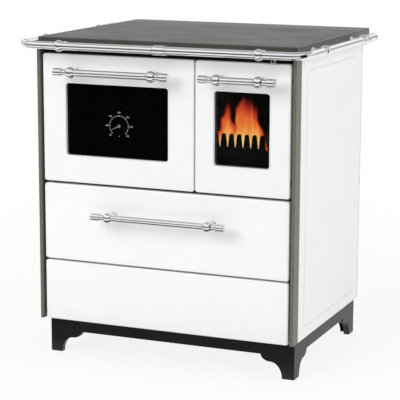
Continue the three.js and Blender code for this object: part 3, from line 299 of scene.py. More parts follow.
def carved(piece, *boxes):
    """The piece less some boxes, each given by its lowest and highest corner in layout millimetres."""
    cutters = bpy.data.meshes.new("cut")
    low, high = (np.array([box[k] for box in boxes], float) for k in (0, 1))
    pick = np.array([[(k >> axis) & 1 for axis in range(3)] for k in range(8)])
    corners = low[:, None] + (high - low)[:, None] * pick[None]
    sides = np.array([[0, 2, 3, 1], [4, 5, 7, 6], [0, 1, 5, 4], [2, 6, 7, 3], [0, 4, 6, 2], [1, 3, 7, 5]])
    faces = (sides[None] + 8 * np.arange(len(boxes))[:, None, None]).reshape(-1, 4)
    cutters.from_pydata(to_frame(corners).tolist(), [], faces.tolist())
    tool = bpy.data.objects.new("cut", cutters)
    bpy.context.scene.collection.objects.link(tool)
    modifier = piece.modifiers.new("cut", "BOOLEAN")
    modifier.operation, modifier.solver, modifier.object = "DIFFERENCE", "EXACT", tool
    piece.modifiers.move(len(piece.modifiers) - 1, 0)
    for other in piece.modifiers[1:]:
        other.show_viewport = False
    done = bpy.data.meshes.new_from_object(piece.evaluated_get(bpy.context.evaluated_depsgraph_get()))
    piece.modifiers.remove(modifier)
    for other in piece.modifiers:
        other.show_viewport = True
    piece.data = done
    bpy.data.objects.remove(tool)
    done.set_sharp_from_angle(angle=math.radians(38))
    return piece


def refined(node, name, material, bevel, segments=2, flat=1.0):
    """Merged copy of a CAD node: flat triangles joined up again and its edges broken by a bevel, in
    millimetres."""
    mesh = frame["nodes"][node].data.copy()
    mesh.name = name
    mesh.materials.clear()
    work = bmesh.new()
    work.from_mesh(mesh)
    bmesh.ops.remove_doubles(work, verts=work.verts, dist=1e-5)
    bmesh.ops.dissolve_limit(work, angle_limit=math.radians(flat), verts=work.verts, edges=work.edges)
    work.to_mesh(mesh)
    work.free()
    piece = settle(mesh, name, material, weighted=False)
    edge = piece.modifiers.new("broken edges", "BEVEL")
    edge.width, edge.segments, edge.limit_method = bevel / 1000, segments, "ANGLE"
    edge.angle_limit = math.radians(32)
    piece.modifiers.new("even faces", "WEIGHTED_NORMAL").keep_sharp = True
    return stands_for(piece, node)


# ---------------------------------------------------------------- finishes
def add(tree, kind, inputs=None, links=None, **settings):
    """Adds a node with its settings, input values and incoming links."""
    made = tree.nodes.new(kind)
    for key, value in settings.items():
        setattr(made, key, value)
    for key, value in (inputs or {}).items():
        made.inputs[key].default_value = value
    for key, source in (links or {}).items():
        tree.links.new(source, made.inputs[key])
    return made


def rgba(value):
    return (*value, 1.0)


def shade(value, factor):
    return tuple(min(1.0, channel * factor) for channel in value)


def plain(name, **values):
    """A material with one Principled shader, its constant values set on the shader's own sockets."""
    made = bpy.data.materials.get(name)
    if made:
        return made, None, None, None
    made = bpy.data.materials.new(name)
    made.use_nodes = True
    tree = made.node_tree
    tree.nodes.clear()
    shader = add(
        tree, "ShaderNodeBsdfPrincipled", {key.replace("_", " "): value for key, value in values.items()}
    )
    out = add(tree, "ShaderNodeOutputMaterial", links={"Surface": shader.outputs[0]})
    place = add(tree, "ShaderNodeTexCoord")
    out.location = (300, 0)
    return made, tree, shader, place.outputs["Object"]


def grain(tree, place, size_mm, detail=2.0, stretch=(1, 1, 1), roughness=0.5):
    """Noise whose waves are about size_mm long on the object, stretched along an axis where asked."""
    mapped = add(tree, "ShaderNodeMapping", {"Scale": stretch}, {"Vector": place})
    return add(
        tree,
        "ShaderNodeTexNoise",
        {"Scale": 1000 / size_mm, "Detail": detail, "Roughness": roughness},
        {"Vector": mapped.outputs[0]},
    ).outputs["Fac"]


def blend_colours(tree, value, one, two):
    """Colour from one to two while the noise goes from 0.3 to 0.7, where nearly all of it lies."""
    share = add(tree, "ShaderNodeMapRange", {"From Min": 0.3, "From Max": 0.7}, {"Value": value})
    blend = add(tree, "ShaderNodeMix", None, {"Factor": share.outputs[0]}, data_type="RGBA")
    blend.inputs[6].default_value, blend.inputs[7].default_value = rgba(one), rgba(two)
    return blend.outputs[2]


def worked(tree, shader, grain_height, gloss=None, millimetres=None, strength=1.0):
    """One grain shapes the surface: its roughness goes from gloss[0] to gloss[1] and its bumps rise by
    millimetres."""
    if gloss:
        ends = {"From Min": 0.3, "From Max": 0.7, "To Min": gloss[0], "To Max": gloss[1]}
        dull = add(tree, "ShaderNodeMapRange", ends, {"Value": grain_height})
        tree.links.new(dull.outputs[0], shader.inputs["Roughness"])
    if millimetres:
        sizes = {"Strength": strength, "Distance": millimetres / 1000}
        bump = add(tree, "ShaderNodeBump", sizes, {"Height": grain_height})
        tree.links.new(bump.outputs[0], shader.inputs["Normal"])


def white_enamel():
    """Vitreous enamel fired on pressed steel: a deep gloss whose surface rolls a little, as orange peel
    does."""
    tint = bpy.context.scene.stove_finishes.enamel
    made, tree, shader, place = plain("vitreous enamel white", IOR=1.5, Coat_Weight=0.25, Coat_Roughness=0.05)
    if tree:
        # Orange peel has waves of about 4 mm; the tone wanders over a hand's width where the coat is thinner.
        peel = grain(tree, place, 4.0, 1.0)
        tone = grain(tree, place, 90.0, 2.0)
        tree.links.new(blend_colours(tree, tone, shade(tint, 0.985), tint), shader.inputs["Base Color"])
        worked(tree, shader, peel, (0.13, 0.19), 0.012, 0.5)
    return made


def olive_coat():
    """Baked satin coat on steel and cast iron: half-dull, with a fine even grain."""
    tint = bpy.context.scene.stove_finishes.olive
    made, tree, shader, place = plain("baked olive satin coat", IOR=1.5)
    if tree:
        # The real grain is near 0.3 mm; it is drawn at 1.5 mm so that it shows.
        fine = grain(tree, place, 1.5, 3.0)
        wide = grain(tree, place, 60.0, 2.0)
        both = add(
            tree,
            "ShaderNodeMath",
            {1: 0.5},
            {0: add(tree, "ShaderNodeMath", None, {0: fine, 1: wide}).outputs[0]},
            operation="MULTIPLY",
        ).outputs[0]
        tree.links.new(
            blend_colours(tree, both, shade(tint, 0.86), shade(tint, 1.14)), shader.inputs["Base Color"]
        )
        worked(tree, shader, fine, (0.34, 0.46), 0.03, 0.4)
    return made


def rim_coat():
    """Smooth olive coat on the cast hob frame: glossier than the posts, so that it mirrors a little when
    seen flat."""
    tint = bpy.context.scene.stove_finishes.rim
    made, tree, shader, place = plain("smooth olive hob coat", IOR=1.5)
    if tree:
        # Casting ripple of about 25 mm under a coat with a 2 mm spray texture.
        ripple = grain(tree, place, 25.0, 2.0)
        spray = grain(tree, place, 2.0, 3.0)
        tree.links.new(
            blend_colours(tree, ripple, shade(tint, 0.92), shade(tint, 1.08)), shader.inputs["Base Color"]
        )
        worked(tree, shader, spray, (0.26, 0.36), 0.02, 0.3)
    return made


def hob_coat():
    """Heat-proof coat on the cooking plate: dull grey, speckled, with faint cloudy marks left by pans."""
    tint = bpy.context.scene.stove_finishes.hob
    made, tree, shader, place = plain("heat-proof hob coat", IOR=1.5)
    if tree:
        # Sprayed speckle of about 1.4 mm, and marks the size of a pan's foot.
        speck = grain(tree, place, 1.4, 3.0, roughness=0.7)
        cloud = grain(tree, place, 120.0, 3.0)
        base = blend_colours(tree, cloud, shade(tint, 0.93), shade(tint, 1.06))
        mixed = add(
            tree,
            "ShaderNodeMix",
            {"Factor": 0.35},
            {6: base, 7: blend_colours(tree, speck, shade(tint, 0.7), shade(tint, 1.3))},
            data_type="RGBA",
        )
        tree.links.new(mixed.outputs[2], shader.inputs["Base Color"])
        worked(tree, shader, cloud, (0.38, 0.52))
        worked(tree, shader, speck, None, 0.02, 0.35)
    return made


def black_paint():
    """Stoving paint on folded sheet: black, satin, a slight texture from the spray."""
    tint = bpy.context.scene.stove_finishes.plinth
    made, tree, shader, place = plain("black stoving paint", IOR=1.5)
    if tree:
        spray = grain(tree, place, 2.0, 3.0)
        dust = grain(tree, place, 70.0, 3.0)
        tree.links.new(
            blend_colours(tree, dust, shade(tint, 0.8), shade(tint, 1.5)), shader.inputs["Base Color"]
        )
        worked(tree, shader, spray, (0.36, 0.5), 0.03, 0.4)
    return made


def bright_chrome():
    """Polished brass or steel plated with chromium: a clear mirror, a little cooler than silver."""
    tint = bpy.context.scene.stove_finishes.chrome
    made, tree, shader, place = plain("polished chrome plate", Metallic=1.0)
    if tree:
        # Polishing leaves waves of some 3 mm and hairlines too fine to see, which only soften the mirror.
        polish = grain(tree, place, 3.0, 2.0)
        tree.links.new(blend_colours(tree, polish, shade(tint, 0.97), tint), shader.inputs["Base Color"])
        worked(tree, shader, polish, (0.06, 0.12), 0.004, 0.4)
    return made


def printed_glass():
    """Heat-proof glass printed black on its rear: a hard gloss over deep black."""
    made, tree, shader, place = plain("black printed oven glass", IOR=1.47, Specular_IOR_Level=0.15)
    if tree:
        cloud = grain(tree, place, 45.0, 2.0)
        tree.links.new(
            blend_colours(tree, cloud, linear("#020202"), linear("#050506")), shader.inputs["Base Color"]
        )
        worked(tree, shader, cloud, (0.03, 0.06))
    return made


def clear_glass():
    """Heat-proof glass over the fire: clear, faintly browned by smoke in patches of some 40 mm."""
    made, tree, shader, place = plain(
        "clear heat-proof glass", IOR=1.47, Roughness=0.0, Transmission_Weight=1.0, Specular_IOR_Level=0.15
    )
    if tree:
        haze = grain(tree, place, 40.0, 3.0)
        tree.links.new(
            blend_colours(tree, haze, linear("#F4F1EC"), linear("#FDFDFC")), shader.inputs["Base Color"]
        )
    return made


def cast_iron():
    """Sand-cast iron, blackened by the fire: dull, pitted as the sand left it."""
    tint = bpy.context.scene.stove_finishes.iron
    made, tree, shader, place = plain("blackened cast iron", IOR=1.5, Specular_IOR_Level=0.12)
    if tree:
        sand = grain(tree, place, 1.8, 4.0, roughness=0.65)
        scale = grain(tree, place, 30.0, 3.0)
        tree.links.new(
            blend_colours(tree, scale, shade(tint, 0.3), shade(tint, 0.8)), shader.inputs["Base Color"]
        )
        worked(tree, shader, sand, (0.75, 0.95), 0.2, 0.6)
    return made


def sooty_brick():
    """Pressed vermiculite brick: straw-coloured flakes, blackened where the smoke lies on it."""
    tint = bpy.context.scene.stove_finishes.brick
    made, tree, shader, place = plain("sooty vermiculite brick", IOR=1.45, Roughness=0.95)
    if tree:
        flake = add(tree, "ShaderNodeTexVoronoi", {"Scale": 1000 / 3.5}, {"Vector": place})
        soot = grain(tree, place, 55.0, 4.0)
        straw = blend_colours(tree, flake.outputs["Distance"], shade(tint, 0.6), tint)
        dark = add(
            tree,
            "ShaderNodeMapRange",
            {"From Min": 0.2, "From Max": 0.5, "To Min": 0.72, "To Max": 1.0},
            {"Value": soot},
        ).outputs[0]
        mixed = add(
            tree, "ShaderNodeMix", {7: rgba(linear("#0C0B0A"))}, {"Factor": dark, 6: straw}, data_type="RGBA"
        )
        tree.links.new(mixed.outputs[2], shader.inputs["Base Color"])
        worked(tree, shader, flake.outputs["Distance"], None, 0.4, 0.5)
    return made


def galvanised_sheet():
    """Hot-dip galvanised sheet: dull metal with the crystal patches that zinc grows, 12 mm or so across."""
    made, tree, shader, place = plain("galvanised sheet", Metallic=1.0)
    if tree:
        crystal = add(tree, "ShaderNodeTexVoronoi", {"Scale": 1000 / 12}, {"Vector": place})
        patch = add(tree, "ShaderNodeSeparateColor", links={"Color": crystal.outputs["Color"]}).outputs[0]
        zinc = add(
            tree,
            "ShaderNodeMix",
            {6: rgba(linear("#989A9D")), 7: rgba(linear("#A3A5A7"))},
            {"Factor": patch},
            data_type="RGBA",
        )
        tree.links.new(zinc.outputs[2], shader.inputs["Base Color"])
        tree.links.new(
            add(
                tree,
                "ShaderNodeMapRange",
                {"From Min": 0, "From Max": 1, "To Min": 0.42, "To Max": 0.5},
                {"Value": patch},
            ).outputs[0],
            shader.inputs["Roughness"],
        )
        worked(tree, shader, grain(tree, place, 5.0, 2.0), None, 0.02, 0.4)
    return made


def oven_enamel():
    """Dark enamel of the oven's inside: glossy near-black with fine pale flecks."""
    made, tree, shader, place = plain("flecked oven enamel", IOR=1.5)
    if tree:
        fleck = add(tree, "ShaderNodeTexVoronoi", {"Scale": 1000 / 4}, {"Vector": place})
        near = add(tree, "ShaderNodeMath", {1: 0.13}, {0: fleck.outputs["Distance"]}, operation="LESS_THAN")
        mixed = add(
            tree,
            "ShaderNodeMix",
            {6: rgba(linear("#26282B")), 7: rgba(linear("#8C9094"))},
            {"Factor": near.outputs[0]},
            data_type="RGBA",
        )
        tree.links.new(mixed.outputs[2], shader.inputs["Base Color"])
        worked(tree, shader, grain(tree, place, 6.0), (0.16, 0.26))
    return made


def rope_weave():
    """Braided glass-fibre rope: grey, dull, its strands crossing at a slant every 4 mm."""
    made, tree, shader, place = plain("braided door rope", IOR=1.5, Roughness=0.9, Sheen_Weight=0.3)
    if tree:
        lie = add(tree, "ShaderNodeUVMap", uv_map="lie").outputs[0]
        slants = []
        for way in (1, -1):
            turned_lie = add(tree, "ShaderNodeMapping", {"Scale": (3.0 * way, 300.0, 1.0)}, {"Vector": lie})
            wave = add(
                tree,
                "ShaderNodeTexWave",
                {"Scale": 0.318},
                {"Vector": turned_lie.outputs[0]},
                bands_direction="DIAGONAL",
            )
            slants.append(wave.outputs["Fac"])
        braid = add(
            tree, "ShaderNodeMath", None, {0: slants[0], 1: slants[1]}, operation="MAXIMUM"
        ).outputs[0]
        # The colour darkens where the braid sinks between strands: painted shade in the grooves.
        tree.links.new(
            blend_colours(tree, braid, linear("#2C2B29"), linear("#6A6864")), shader.inputs["Base Color"]
        )
        worked(tree, shader, braid, None, 0.5, 0.6)
    return made


def dial_print():
    """Baked ceramic ink on the glass: flat grey-white, a little thinner in places."""
    tint = bpy.context.scene.stove_finishes.print_white
    made, tree, shader, place = plain("baked dial ink", IOR=1.5, Roughness=0.6)
    if tree:
        thin = grain(tree, place, 2.0, 2.0)
        tree.links.new(blend_colours(tree, thin, shade(tint, 0.8), tint), shader.inputs["Base Color"])
    return made


def pointer_paint():
    """Thin lacquer on the bimetal pointer: warm grey, half-dull, dimmer than the printed scale."""
    tint = bpy.context.scene.stove_finishes.print_white
    made, tree, shader, place = plain("grey pointer lacquer", IOR=1.5, Roughness=0.45)
    if tree:
        worn = grain(tree, place, 3.0, 2.0)
        tree.links.new(
            blend_colours(tree, worn, shade(tint, 0.28), shade(tint, 0.42)), shader.inputs["Base Color"]
        )
    return made


def flame_light():
    """Burning gas: no surface at all, yellow at the root, orange in its body and red where it cools."""
    fire = bpy.context.scene.stove_fire
    made = bpy.data.materials.new("wood flame")
    made.use_nodes = True
    tree = made.node_tree
    tree.nodes.clear()
    place = add(tree, "ShaderNodeTexCoord").outputs["Object"]
    heat = add(tree, "ShaderNodeAttribute", attribute_name="warmth").outputs["Fac"]
    cover = add(tree, "ShaderNodeAttribute", attribute_name="cover").outputs["Fac"]
    # Streaks of some 11 mm rise with the draught, seven times as tall as wide.
    streak = grain(tree, place, 11.0, 2.0, (1, 1, 0.14))
    wander = add(
        tree,
        "ShaderNodeMapRange",
        {"From Min": 0.3, "From Max": 0.7, "To Min": -0.08, "To Max": 0.08},
        {"Value": streak},
    ).outputs[0]
    hot = add(tree, "ShaderNodeMath", None, {0: heat, 1: wander}).outputs[0]
    ramp = add(tree, "ShaderNodeValToRGB", links={"Fac": hot})
    stops = ramp.color_ramp.elements
    stops[0].position, stops[0].color = 0.0, rgba(linear("#180403"))
    stops[1].position, stops[1].color = 1.0, rgba(fire.root)
    for position, value in (
        (0.22, fire.tip), (0.45, linear("#DF5530")), (0.7, fire.middle), (0.86, linear("#FDBB66"))
    ):
        stop = stops.new(position)
        stop.color = rgba(value)
    light = add(tree, "ShaderNodeEmission", {"Strength": fire.glow}, {"Color": ramp.outputs[0]})
    clear = add(tree, "ShaderNodeBsdfTransparent")
    thin = add(
        tree,
        "ShaderNodeMapRange",
        {"From Min": 0.3, "From Max": 0.7, "To Min": 0.72, "To Max": 1.0},
        {"Value": streak},
    ).outputs[0]
    full = add(
        tree, "ShaderNodeMath", None, {0: cover, 1: thin}, operation="MULTIPLY", use_clamp=True
    ).outputs[0]
    both = add(tree, "ShaderNodeMixShader", links={0: full, 1: clear.outputs[0], 2: light.outputs[0]})
    add(tree, "ShaderNodeOutputMaterial", links={"Surface": both.outputs[0]})
    return made


def ember_bed():
    """Glowing charcoal: grey ash crust in lumps of about 14 mm, orange in the cracks between them."""
    made, tree, shader, place = plain("glowing charcoal", IOR=1.45, Roughness=0.95)
    if tree:
        lump = add(
            tree, "ShaderNodeTexVoronoi", {"Scale": 1000 / 14}, {"Vector": place}, feature="DISTANCE_TO_EDGE"
        )
        crack = add(
            tree,
            "ShaderNodeMapRange",
            {"From Min": 0.0, "From Max": 0.12, "To Min": 1.0, "To Max": 0.0},
            {"Value": lump.outputs["Distance"]},
        ).outputs[0]
        ash = blend_colours(tree, grain(tree, place, 6.0, 3.0), linear("#171310"), linear("#5B534C"))
        tree.links.new(ash, shader.inputs["Base Color"])
        glow = add(
            tree,
            "ShaderNodeMix",
            {6: (0, 0, 0, 1), 7: rgba(linear("#FF7A22"))},
            {"Factor": crack},
            data_type="RGBA",
        )
        tree.links.new(glow.outputs[2], shader.inputs["Emission Color"])
        shader.inputs["Emission Strength"].default_value = 1.2
        worked(tree, shader, lump.outputs["Distance"], None, 3.0, 0.8)
    return made


def charred_wood():
    """Split log, charred: black scales with shallow cracks every 9 mm across the grain."""
    made, tree, shader, place = plain("charred log", IOR=1.45, Roughness=0.9)
    if tree:
        scale = add(
            tree, "ShaderNodeTexVoronoi", {"Scale": 1000 / 9}, {"Vector": place}, feature="DISTANCE_TO_EDGE"
        )
        tree.links.new(
            blend_colours(tree, grain(tree, place, 8.0, 4.0), linear("#0D0B0A"), linear("#3A2A1E")),
            shader.inputs["Base Color"],
        )
        worked(tree, shader, scale.outputs["Distance"], None, 2.0, 0.7)
    return made


# ---------------------------------------------------------------- fronts: doors, drawer, lower panel
def pressed_front(name, node, glass=None):
    """Shallow pressed tray. Its rings are the outline drawn in by an inset at a depth: up the inside of the
    rim, round the rolled border and over the face, then either a flat face or round the window and back
    inside."""
    sizes = bpy.context.scene.stove_sizes
    low, high = extent(node)
    face, back = low[1], low[1] + 20
    sheet, rim, corner = 2.0, 3.2, 7.0

    def ring(inset, depth):
        plan = round_rectangle(
            low[0] + inset, high[0] - inset, low[2] + inset, high[2] - inset, max(corner - inset, 0.8)
        )
        return np.insert(plan, 1, depth, axis=1)

    roll = quarter(sizes.panel_roll * 1000, sizes.panel_roll_depth * 1000)
    rings = [
        ring(rim, face + sheet),
        ring(rim, back - 0.5),
        ring(rim - 0.5, back),
        ring(0.5, back),
        ring(0, back - 0.5),
    ]
    rings += [ring(inset, face + fall) for inset, fall in roll]
    if glass is None:
        return skin(name, [np.array(rings)], white_enamel())
    lap, wall = 12.0, 10.0
    pane_low, pane_high = extent(glass)

    def window(margin, depth):
        x0, x1 = pane_low[0] + lap - margin, pane_high[0] - lap + margin
        plan = round_rectangle(x0, x1, pane_low[2] + lap - margin, pane_high[2] - lap + margin, 8 + margin)
        return np.insert(plan, 1, depth, axis=1)

    turn = sizes.window_roll * 1000
    rings += [window(turn - fall, face + inset) for fall, inset in quarter(turn, turn)]
    rings += [window(0, face + wall), window(1.2, face + wall), window(1.2, face + sheet)]
    return skin(name, [(np.array(rings), True)], white_enamel())


class STOVE_OT_fronts(Operator):
    """Builds the two doors' enamelled panels, the drawer front and the lower panel"""

    bl_idname = "stove.fronts"
    bl_label = "Enamelled fronts"

    def execute(self, context):
        oven = pressed_front("oven_door_enamel", "oven_door_panel", "oven_door_glass")
        fire = pressed_front("fire_door_enamel", "fire_door_panel", "fire_door_glass")
        low, high = extent("oven_door_panel")
        middle = (low[0] + high[0]) / 2
        reach = (high[0] - low[0]) / 2 - 40
        slots = [
            ((middle + s * reach - 4.75, 10, low[2] - 5), (middle + s * reach + 4.75, 60, low[2] + 13.5))
            for s in (-1, 1)
        ]
        stands_for(carved(oven, *slots), "oven_door_panel")
        low, high = extent("fire_door_panel")
        middle = (low[2] + high[2]) / 2
        reach = (high[2] - low[2]) / 2 - 40
        slots = [
            ((high[0] - 13.5, 7, middle + s * reach - 4.75), (high[0] + 5, 60, middle + s * reach + 4.75))
            for s in (-1, 1)
        ]
        stands_for(carved(fire, *slots), "fire_door_panel")
        stands_for(pressed_front("drawer_enamel", "drawer_front"), "drawer_front")
        stands_for(pressed_front("lower_panel_enamel", "lower_panel"), "lower_panel")
        return {"FINISHED"}


# ---------------------------------------------------------------- side panels and posts
def pressed_side(name, node, side):
    """Pressed side tray facing out along X. Its rings rise from the folded flange round a small roll to the
    border, then a shallow groove, 2 sin(pi s)^2 deep, on the S slope 3 s^2 - 2 s^3 up to the raised
    field."""
    sizes = bpy.context.scene.stove_sizes
    low, high = extent(node)
    outer = max(abs(low[0]), abs(high[0]))
    border, flange, sheet = outer - 1.0, 16.0, 2.0

    def ring(inset, x, corner):
        plan = round_rectangle(low[1] + inset, high[1] - inset, low[2] + inset, high[2] - inset, corner)
        return np.insert(plan, 0, side * x, axis=1)

    def field(margin, x):
        plan = round_rectangle(
            low[1] + 40 - margin, high[1] - 31.5 + margin, low[2] + 31.5 - margin, high[2] - 36 + margin, 25 + margin
        )
        return np.insert(plan, 0, side * x, axis=1)

    rings = [
        ring(sheet, border - sheet, 1),
        ring(sheet, border - sheet - flange, 1),
        ring(0, border - sheet - flange, 1.5),
    ]
    rings += [ring(inset, border - fall, max(2.5 - inset, 0.5)) for inset, fall in quarter(2.2, 2.2)]
    slope = sizes.field_slope * 1000
    for s in np.linspace(0, 1, 15):
        height = 3 * s**2 - 2 * s**3 - 2 * math.sin(math.pi * s) ** 2
        rings.append(field(slope * (0.5 - s), border + height))
    return skin(name, [np.array(rings)], white_enamel())


class STOVE_OT_sides(Operator):
    """Builds the pressed side panels and refines the folded corner posts"""

    bl_idname = "stove.sides"
    bl_label = "Side panels and posts"

    def execute(self, context):
        for end, side in (("left", -1), ("right", 1)):
            stands_for(pressed_side(f"side_enamel_{end}", f"side_panel_{end}", side), f"side_panel_{end}")
            refined(f"corner_post_{end}", f"folded_post_{end}", olive_coat(), 0.9, 3)
        return {"FINISHED"}


# ---------------------------------------------------------------- hob top
def hob_frame():
    """Cast frame as one ring of rings: the outer outline at the bottom, up the side and round the top edge,
    then the pocket's edge, its wall, its ledge and the opening under the plate."""
    roll = bpy.context.scene.stove_sizes.top_roll * 1000
    low, high = extent("top_frame")
    plate_low, plate_high = extent("hob_plate")

    def outer(inset, z):
        plan = round_rectangle(low[0] + inset, high[0] - inset, low[1] + inset, high[1] - inset, 9 - inset)
        return np.insert(plan, 2, z, axis=1)

    def pocket(inset, z, corner=1.0):
        x, y0, y1 = plate_high[0] + 2 - inset, plate_low[1] - 2 + inset, plate_high[1] + 2 - inset
        return np.insert(round_rectangle(-x, x, y0, y1, corner), 2, z, axis=1)

    rings = [outer(0.6, low[2]), outer(0, low[2] + 0.6)] + [
        outer(i, high[2] - f) for i, f in quarter(roll, roll)
    ]
    rings += [pocket(-0.7, high[2], 1.6), pocket(-0.2, high[2] - 0.2, 1.2), pocket(0, high[2] - 0.7)]
    rings += [pocket(0, plate_low[2] - 0.3), pocket(16, plate_low[2] - 0.3), pocket(16, low[2])]
    return skin("hob_frame_coated", [(np.array(rings), True)], rim_coat())


class STOVE_OT_hob(Operator):
    """Builds the hob frame and the round lid, and refines the plate and the clean-out cover"""

    bl_idname = "stove.hob"
    bl_label = "Hob top"

    def execute(self, context):
        stands_for(hob_frame(), "top_frame")
        refined("hob_plate", "hob_plate_coated", hob_coat(), 0.7, 2, 0.5)
        refined("cleanout_cover", "cleanout_cover_coated", hob_coat(), 0.7, 2, 0.5)
        low, high = extent("hob_lid")
        middle = (low + high) / 2
        radius, rise = (high[0] - low[0]) / 2, high[2] - low[2]
        profile = [
            (0, 0),
            (radius - 12, 0),
            (radius - 12, rise - 4.7),
            (radius, rise - 4.7),
            (radius, rise),
            (0, rise),
        ]
        lid = turned(eased(profile, 0.7), (middle[0], middle[1], low[2]), "z", 96)
        stands_for(skin("hob_lid_coated", [lid], hob_coat()), "hob_lid")
        return {"FINISHED"}


# ---------------------------------------------------------------- plinth
def plinth_skirt():
    """Folded plinth as a section carried round the plan. The lower edge stands at 0 under each foot and
    rises to the apron on an ogee: x = 32 (1 - cos t), z = 0.7 h sin t, then x = 32 + 26.5 sin t, z = h -
    0.3 h cos t."""
    low, high = extent("plinth")
    apron = 60.0
    t = np.linspace(0, math.pi / 2, 12)
    rise_x = np.concatenate([32 * (1 - np.cos(t)), 32 + 26.5 * np.sin(t[1:])])
    rise_z = np.concatenate([0.7 * apron * np.sin(t), apron - 0.3 * apron * np.cos(t[1:])])

    def plan(inset, corner=2.0):
        """Stations round the plan, drawn in by an inset: four corner arcs and the ogee stations of each
        side."""
        box = np.array([low[0] + inset, low[1] + inset, high[0] - inset, high[1] - inset])
        arc = np.linspace(0, math.pi / 2, 6)
        radius = max(corner - inset, 0.2)
        stations = []
        for k, (foot, across) in enumerate(((33, 0), (38, 1), (33, 0), (38, 1))):
            start = low[across] if k < 2 else high[across]
            end = high[across] if k < 2 else low[across]
            way = np.sign(end - start)
            steps = np.concatenate([start + way * (foot + rise_x), end - way * (foot + rise_x[::-1])])
            level = [box[1], box[2], box[3], box[0]][k]
            line = np.stack([steps, np.full(len(steps), level)], -1)
            if across:
                line = line[:, ::-1]
            turn = k * math.pi / 2 + math.pi + arc
            centre = np.array([[box[0], box[1]], [box[2], box[1]], [box[2], box[3]], [box[0], box[3]]][k])
            centre = centre + radius * np.array([[1, 1], [-1, 1], [-1, -1], [1, -1]][k])
            stations += [centre + radius * np.stack([np.cos(turn), np.sin(turn)], -1), line]
        return np.concatenate(stations)

    edge = np.concatenate([np.zeros(6), rise_z, rise_z[::-1]] * 4)
    top = np.full(len(edge), high[2])
    rows = [(0, top - 0.8), (0, edge + 0.8), (0.25, edge + 0.25), (0.8, edge), (15.5, edge), (16, edge + 0.5)]
    rows += [
        (16, np.minimum(edge + 3, top)),
        (3, np.minimum(edge + 3, top)),
        (3, top),
        (0.8, top),
        (0.25, top - 0.25),
    ]
    section = np.array([np.concatenate([plan(inset), z[:, None]], 1) for inset, z in rows])
    return skin("plinth_folded", [(section, True)], black_paint(), sharp=32)


class STOVE_OT_plinth(Operator):
    """Builds the black plinth with its bracket feet"""

    bl_idname = "stove.plinth"
    bl_label = "Plinth"

    def execute(self, context):
        stands_for(plinth_skirt(), "plinth")
        return {"FINISHED"}


# ---------------------------------------------------------------- rail and handles
# Radius of every ball, and where the rail's middle line runs, in layout millimetres.
BALL = 14.5
RAIL_HEIGHT, RAIL_REACH, RAIL_FRONT = 832.0, 390.0, -38.0


def ball_post(centre, ball, stem, rosette, thickness, reach, bore, out):
    """Turned ball with its bore, and behind it the stem and the domed rosette. The ball is a ring round the
    bar, radius sqrt(ball^2 - s^2) outside and the bore inside; out is the way the post faces: -y, +x or
    -x."""
    far = math.sqrt(ball**2 - bore**2)
    s = ball * np.sin(np.linspace(-1, 1, 25) * math.asin(far / ball))
    shell = np.concatenate(
        [np.stack([np.sqrt(ball**2 - s**2), s], -1), [(bore, far - 0.05), (bore, -far + 0.05)]]
    )
    root = math.sqrt(ball**2 - stem**2) - 1
    dome = np.linspace(0, math.pi / 2, 7)
    profile = [(0, root), (stem, root), (stem, reach - thickness - 1.2)]
    profile += [(stem + 0.6, reach - thickness - 0.4)]
    profile += [
        (stem + 0.8 + (rosette - stem - 0.8) * math.sin(a), reach - thickness * math.cos(a) * 0.92 - 0.3)
        for a in dome
    ]
    profile += [(rosette - 0.3, reach - 0.3), (0, reach - 0.3)]
    ring = turned(shell, (0, 0, 0), "x", 48)
    stalk = turned(profile, (0, 0, 0), "y", 40)
    turn = {
        "-y": np.eye(3),
        "+x": np.array([[0, -1.0, 0], [1, 0, 0], [0, 0, 1]]),
        "-x": np.array([[0, 1.0, 0], [-1, 0, 0], [0, 0, 1]]),
    }[out]
    return [(ring @ turn.T + centre, True), stalk @ turn.T + centre]


def bar_handle(name, node):
    """Turned bar along X: plain between the balls, a thinner neck beyond each, then a groove and a domed
    sleeve."""
    bar, neck = (getattr(bpy.context.scene.stove_sizes, key) * 1000 for key in ("bar", "neck"))
    low, high = extent(node)
    middle, half = (low + high) / 2, (high[0] - low[0]) / 2
    sleeve_length, ball_from_end = 24, 47.2
    thick, inner = (high[2] - low[2]) / 2, half - sleeve_length
    ball = half - ball_from_end
    side = [(bar, 0), (bar, ball + 8), (neck, ball + 9.2), (neck, inner - 2.4), (neck - 1.6, inner - 2.2)]
    side += [(neck - 1.6, inner - 0.2), (thick - 0.6, inner), (thick, inner + 0.6), (thick, half - 1.6)]
    side += [(thick - 1.1, half - 0.3), (thick - 2.6, half), (0, half)]
    side = np.array(side)
    whole = np.concatenate([side[:0:-1] * (1, -1), side])
    return skin(name, [turned(eased(whole, 0.5, 4), middle, "x")], bright_chrome(), sharp=50)


class STOVE_OT_handles(Operator):
    """Builds the three bar handles with their ball posts"""

    bl_idname = "stove.handles"
    bl_label = "Bar handles"

    def execute(self, context):
        for name in ("oven", "fire", "drawer"):
            stands_for(bar_handle(f"{name}_bar_chrome", f"{name}_handle_bar"), f"{name}_handle_bar")
            bar_low, bar_high = extent(f"{name}_handle_bar")
            for end in ("left", "right"):
                node = f"{name}_handle_post_{end}"
                low, high = extent(node)
                centre = np.array(
                    [(low[0] + high[0]) / 2, (bar_low[1] + bar_high[1]) / 2, (bar_low[2] + bar_high[2]) / 2]
                )
                shells = ball_post(centre, BALL, 5.5, 9, 5, 40, 9.15, "-y")
                stands_for(skin(f"{name}_ball_{end}_chrome", shells, bright_chrome(), sharp=50), node)
        return {"FINISHED"}


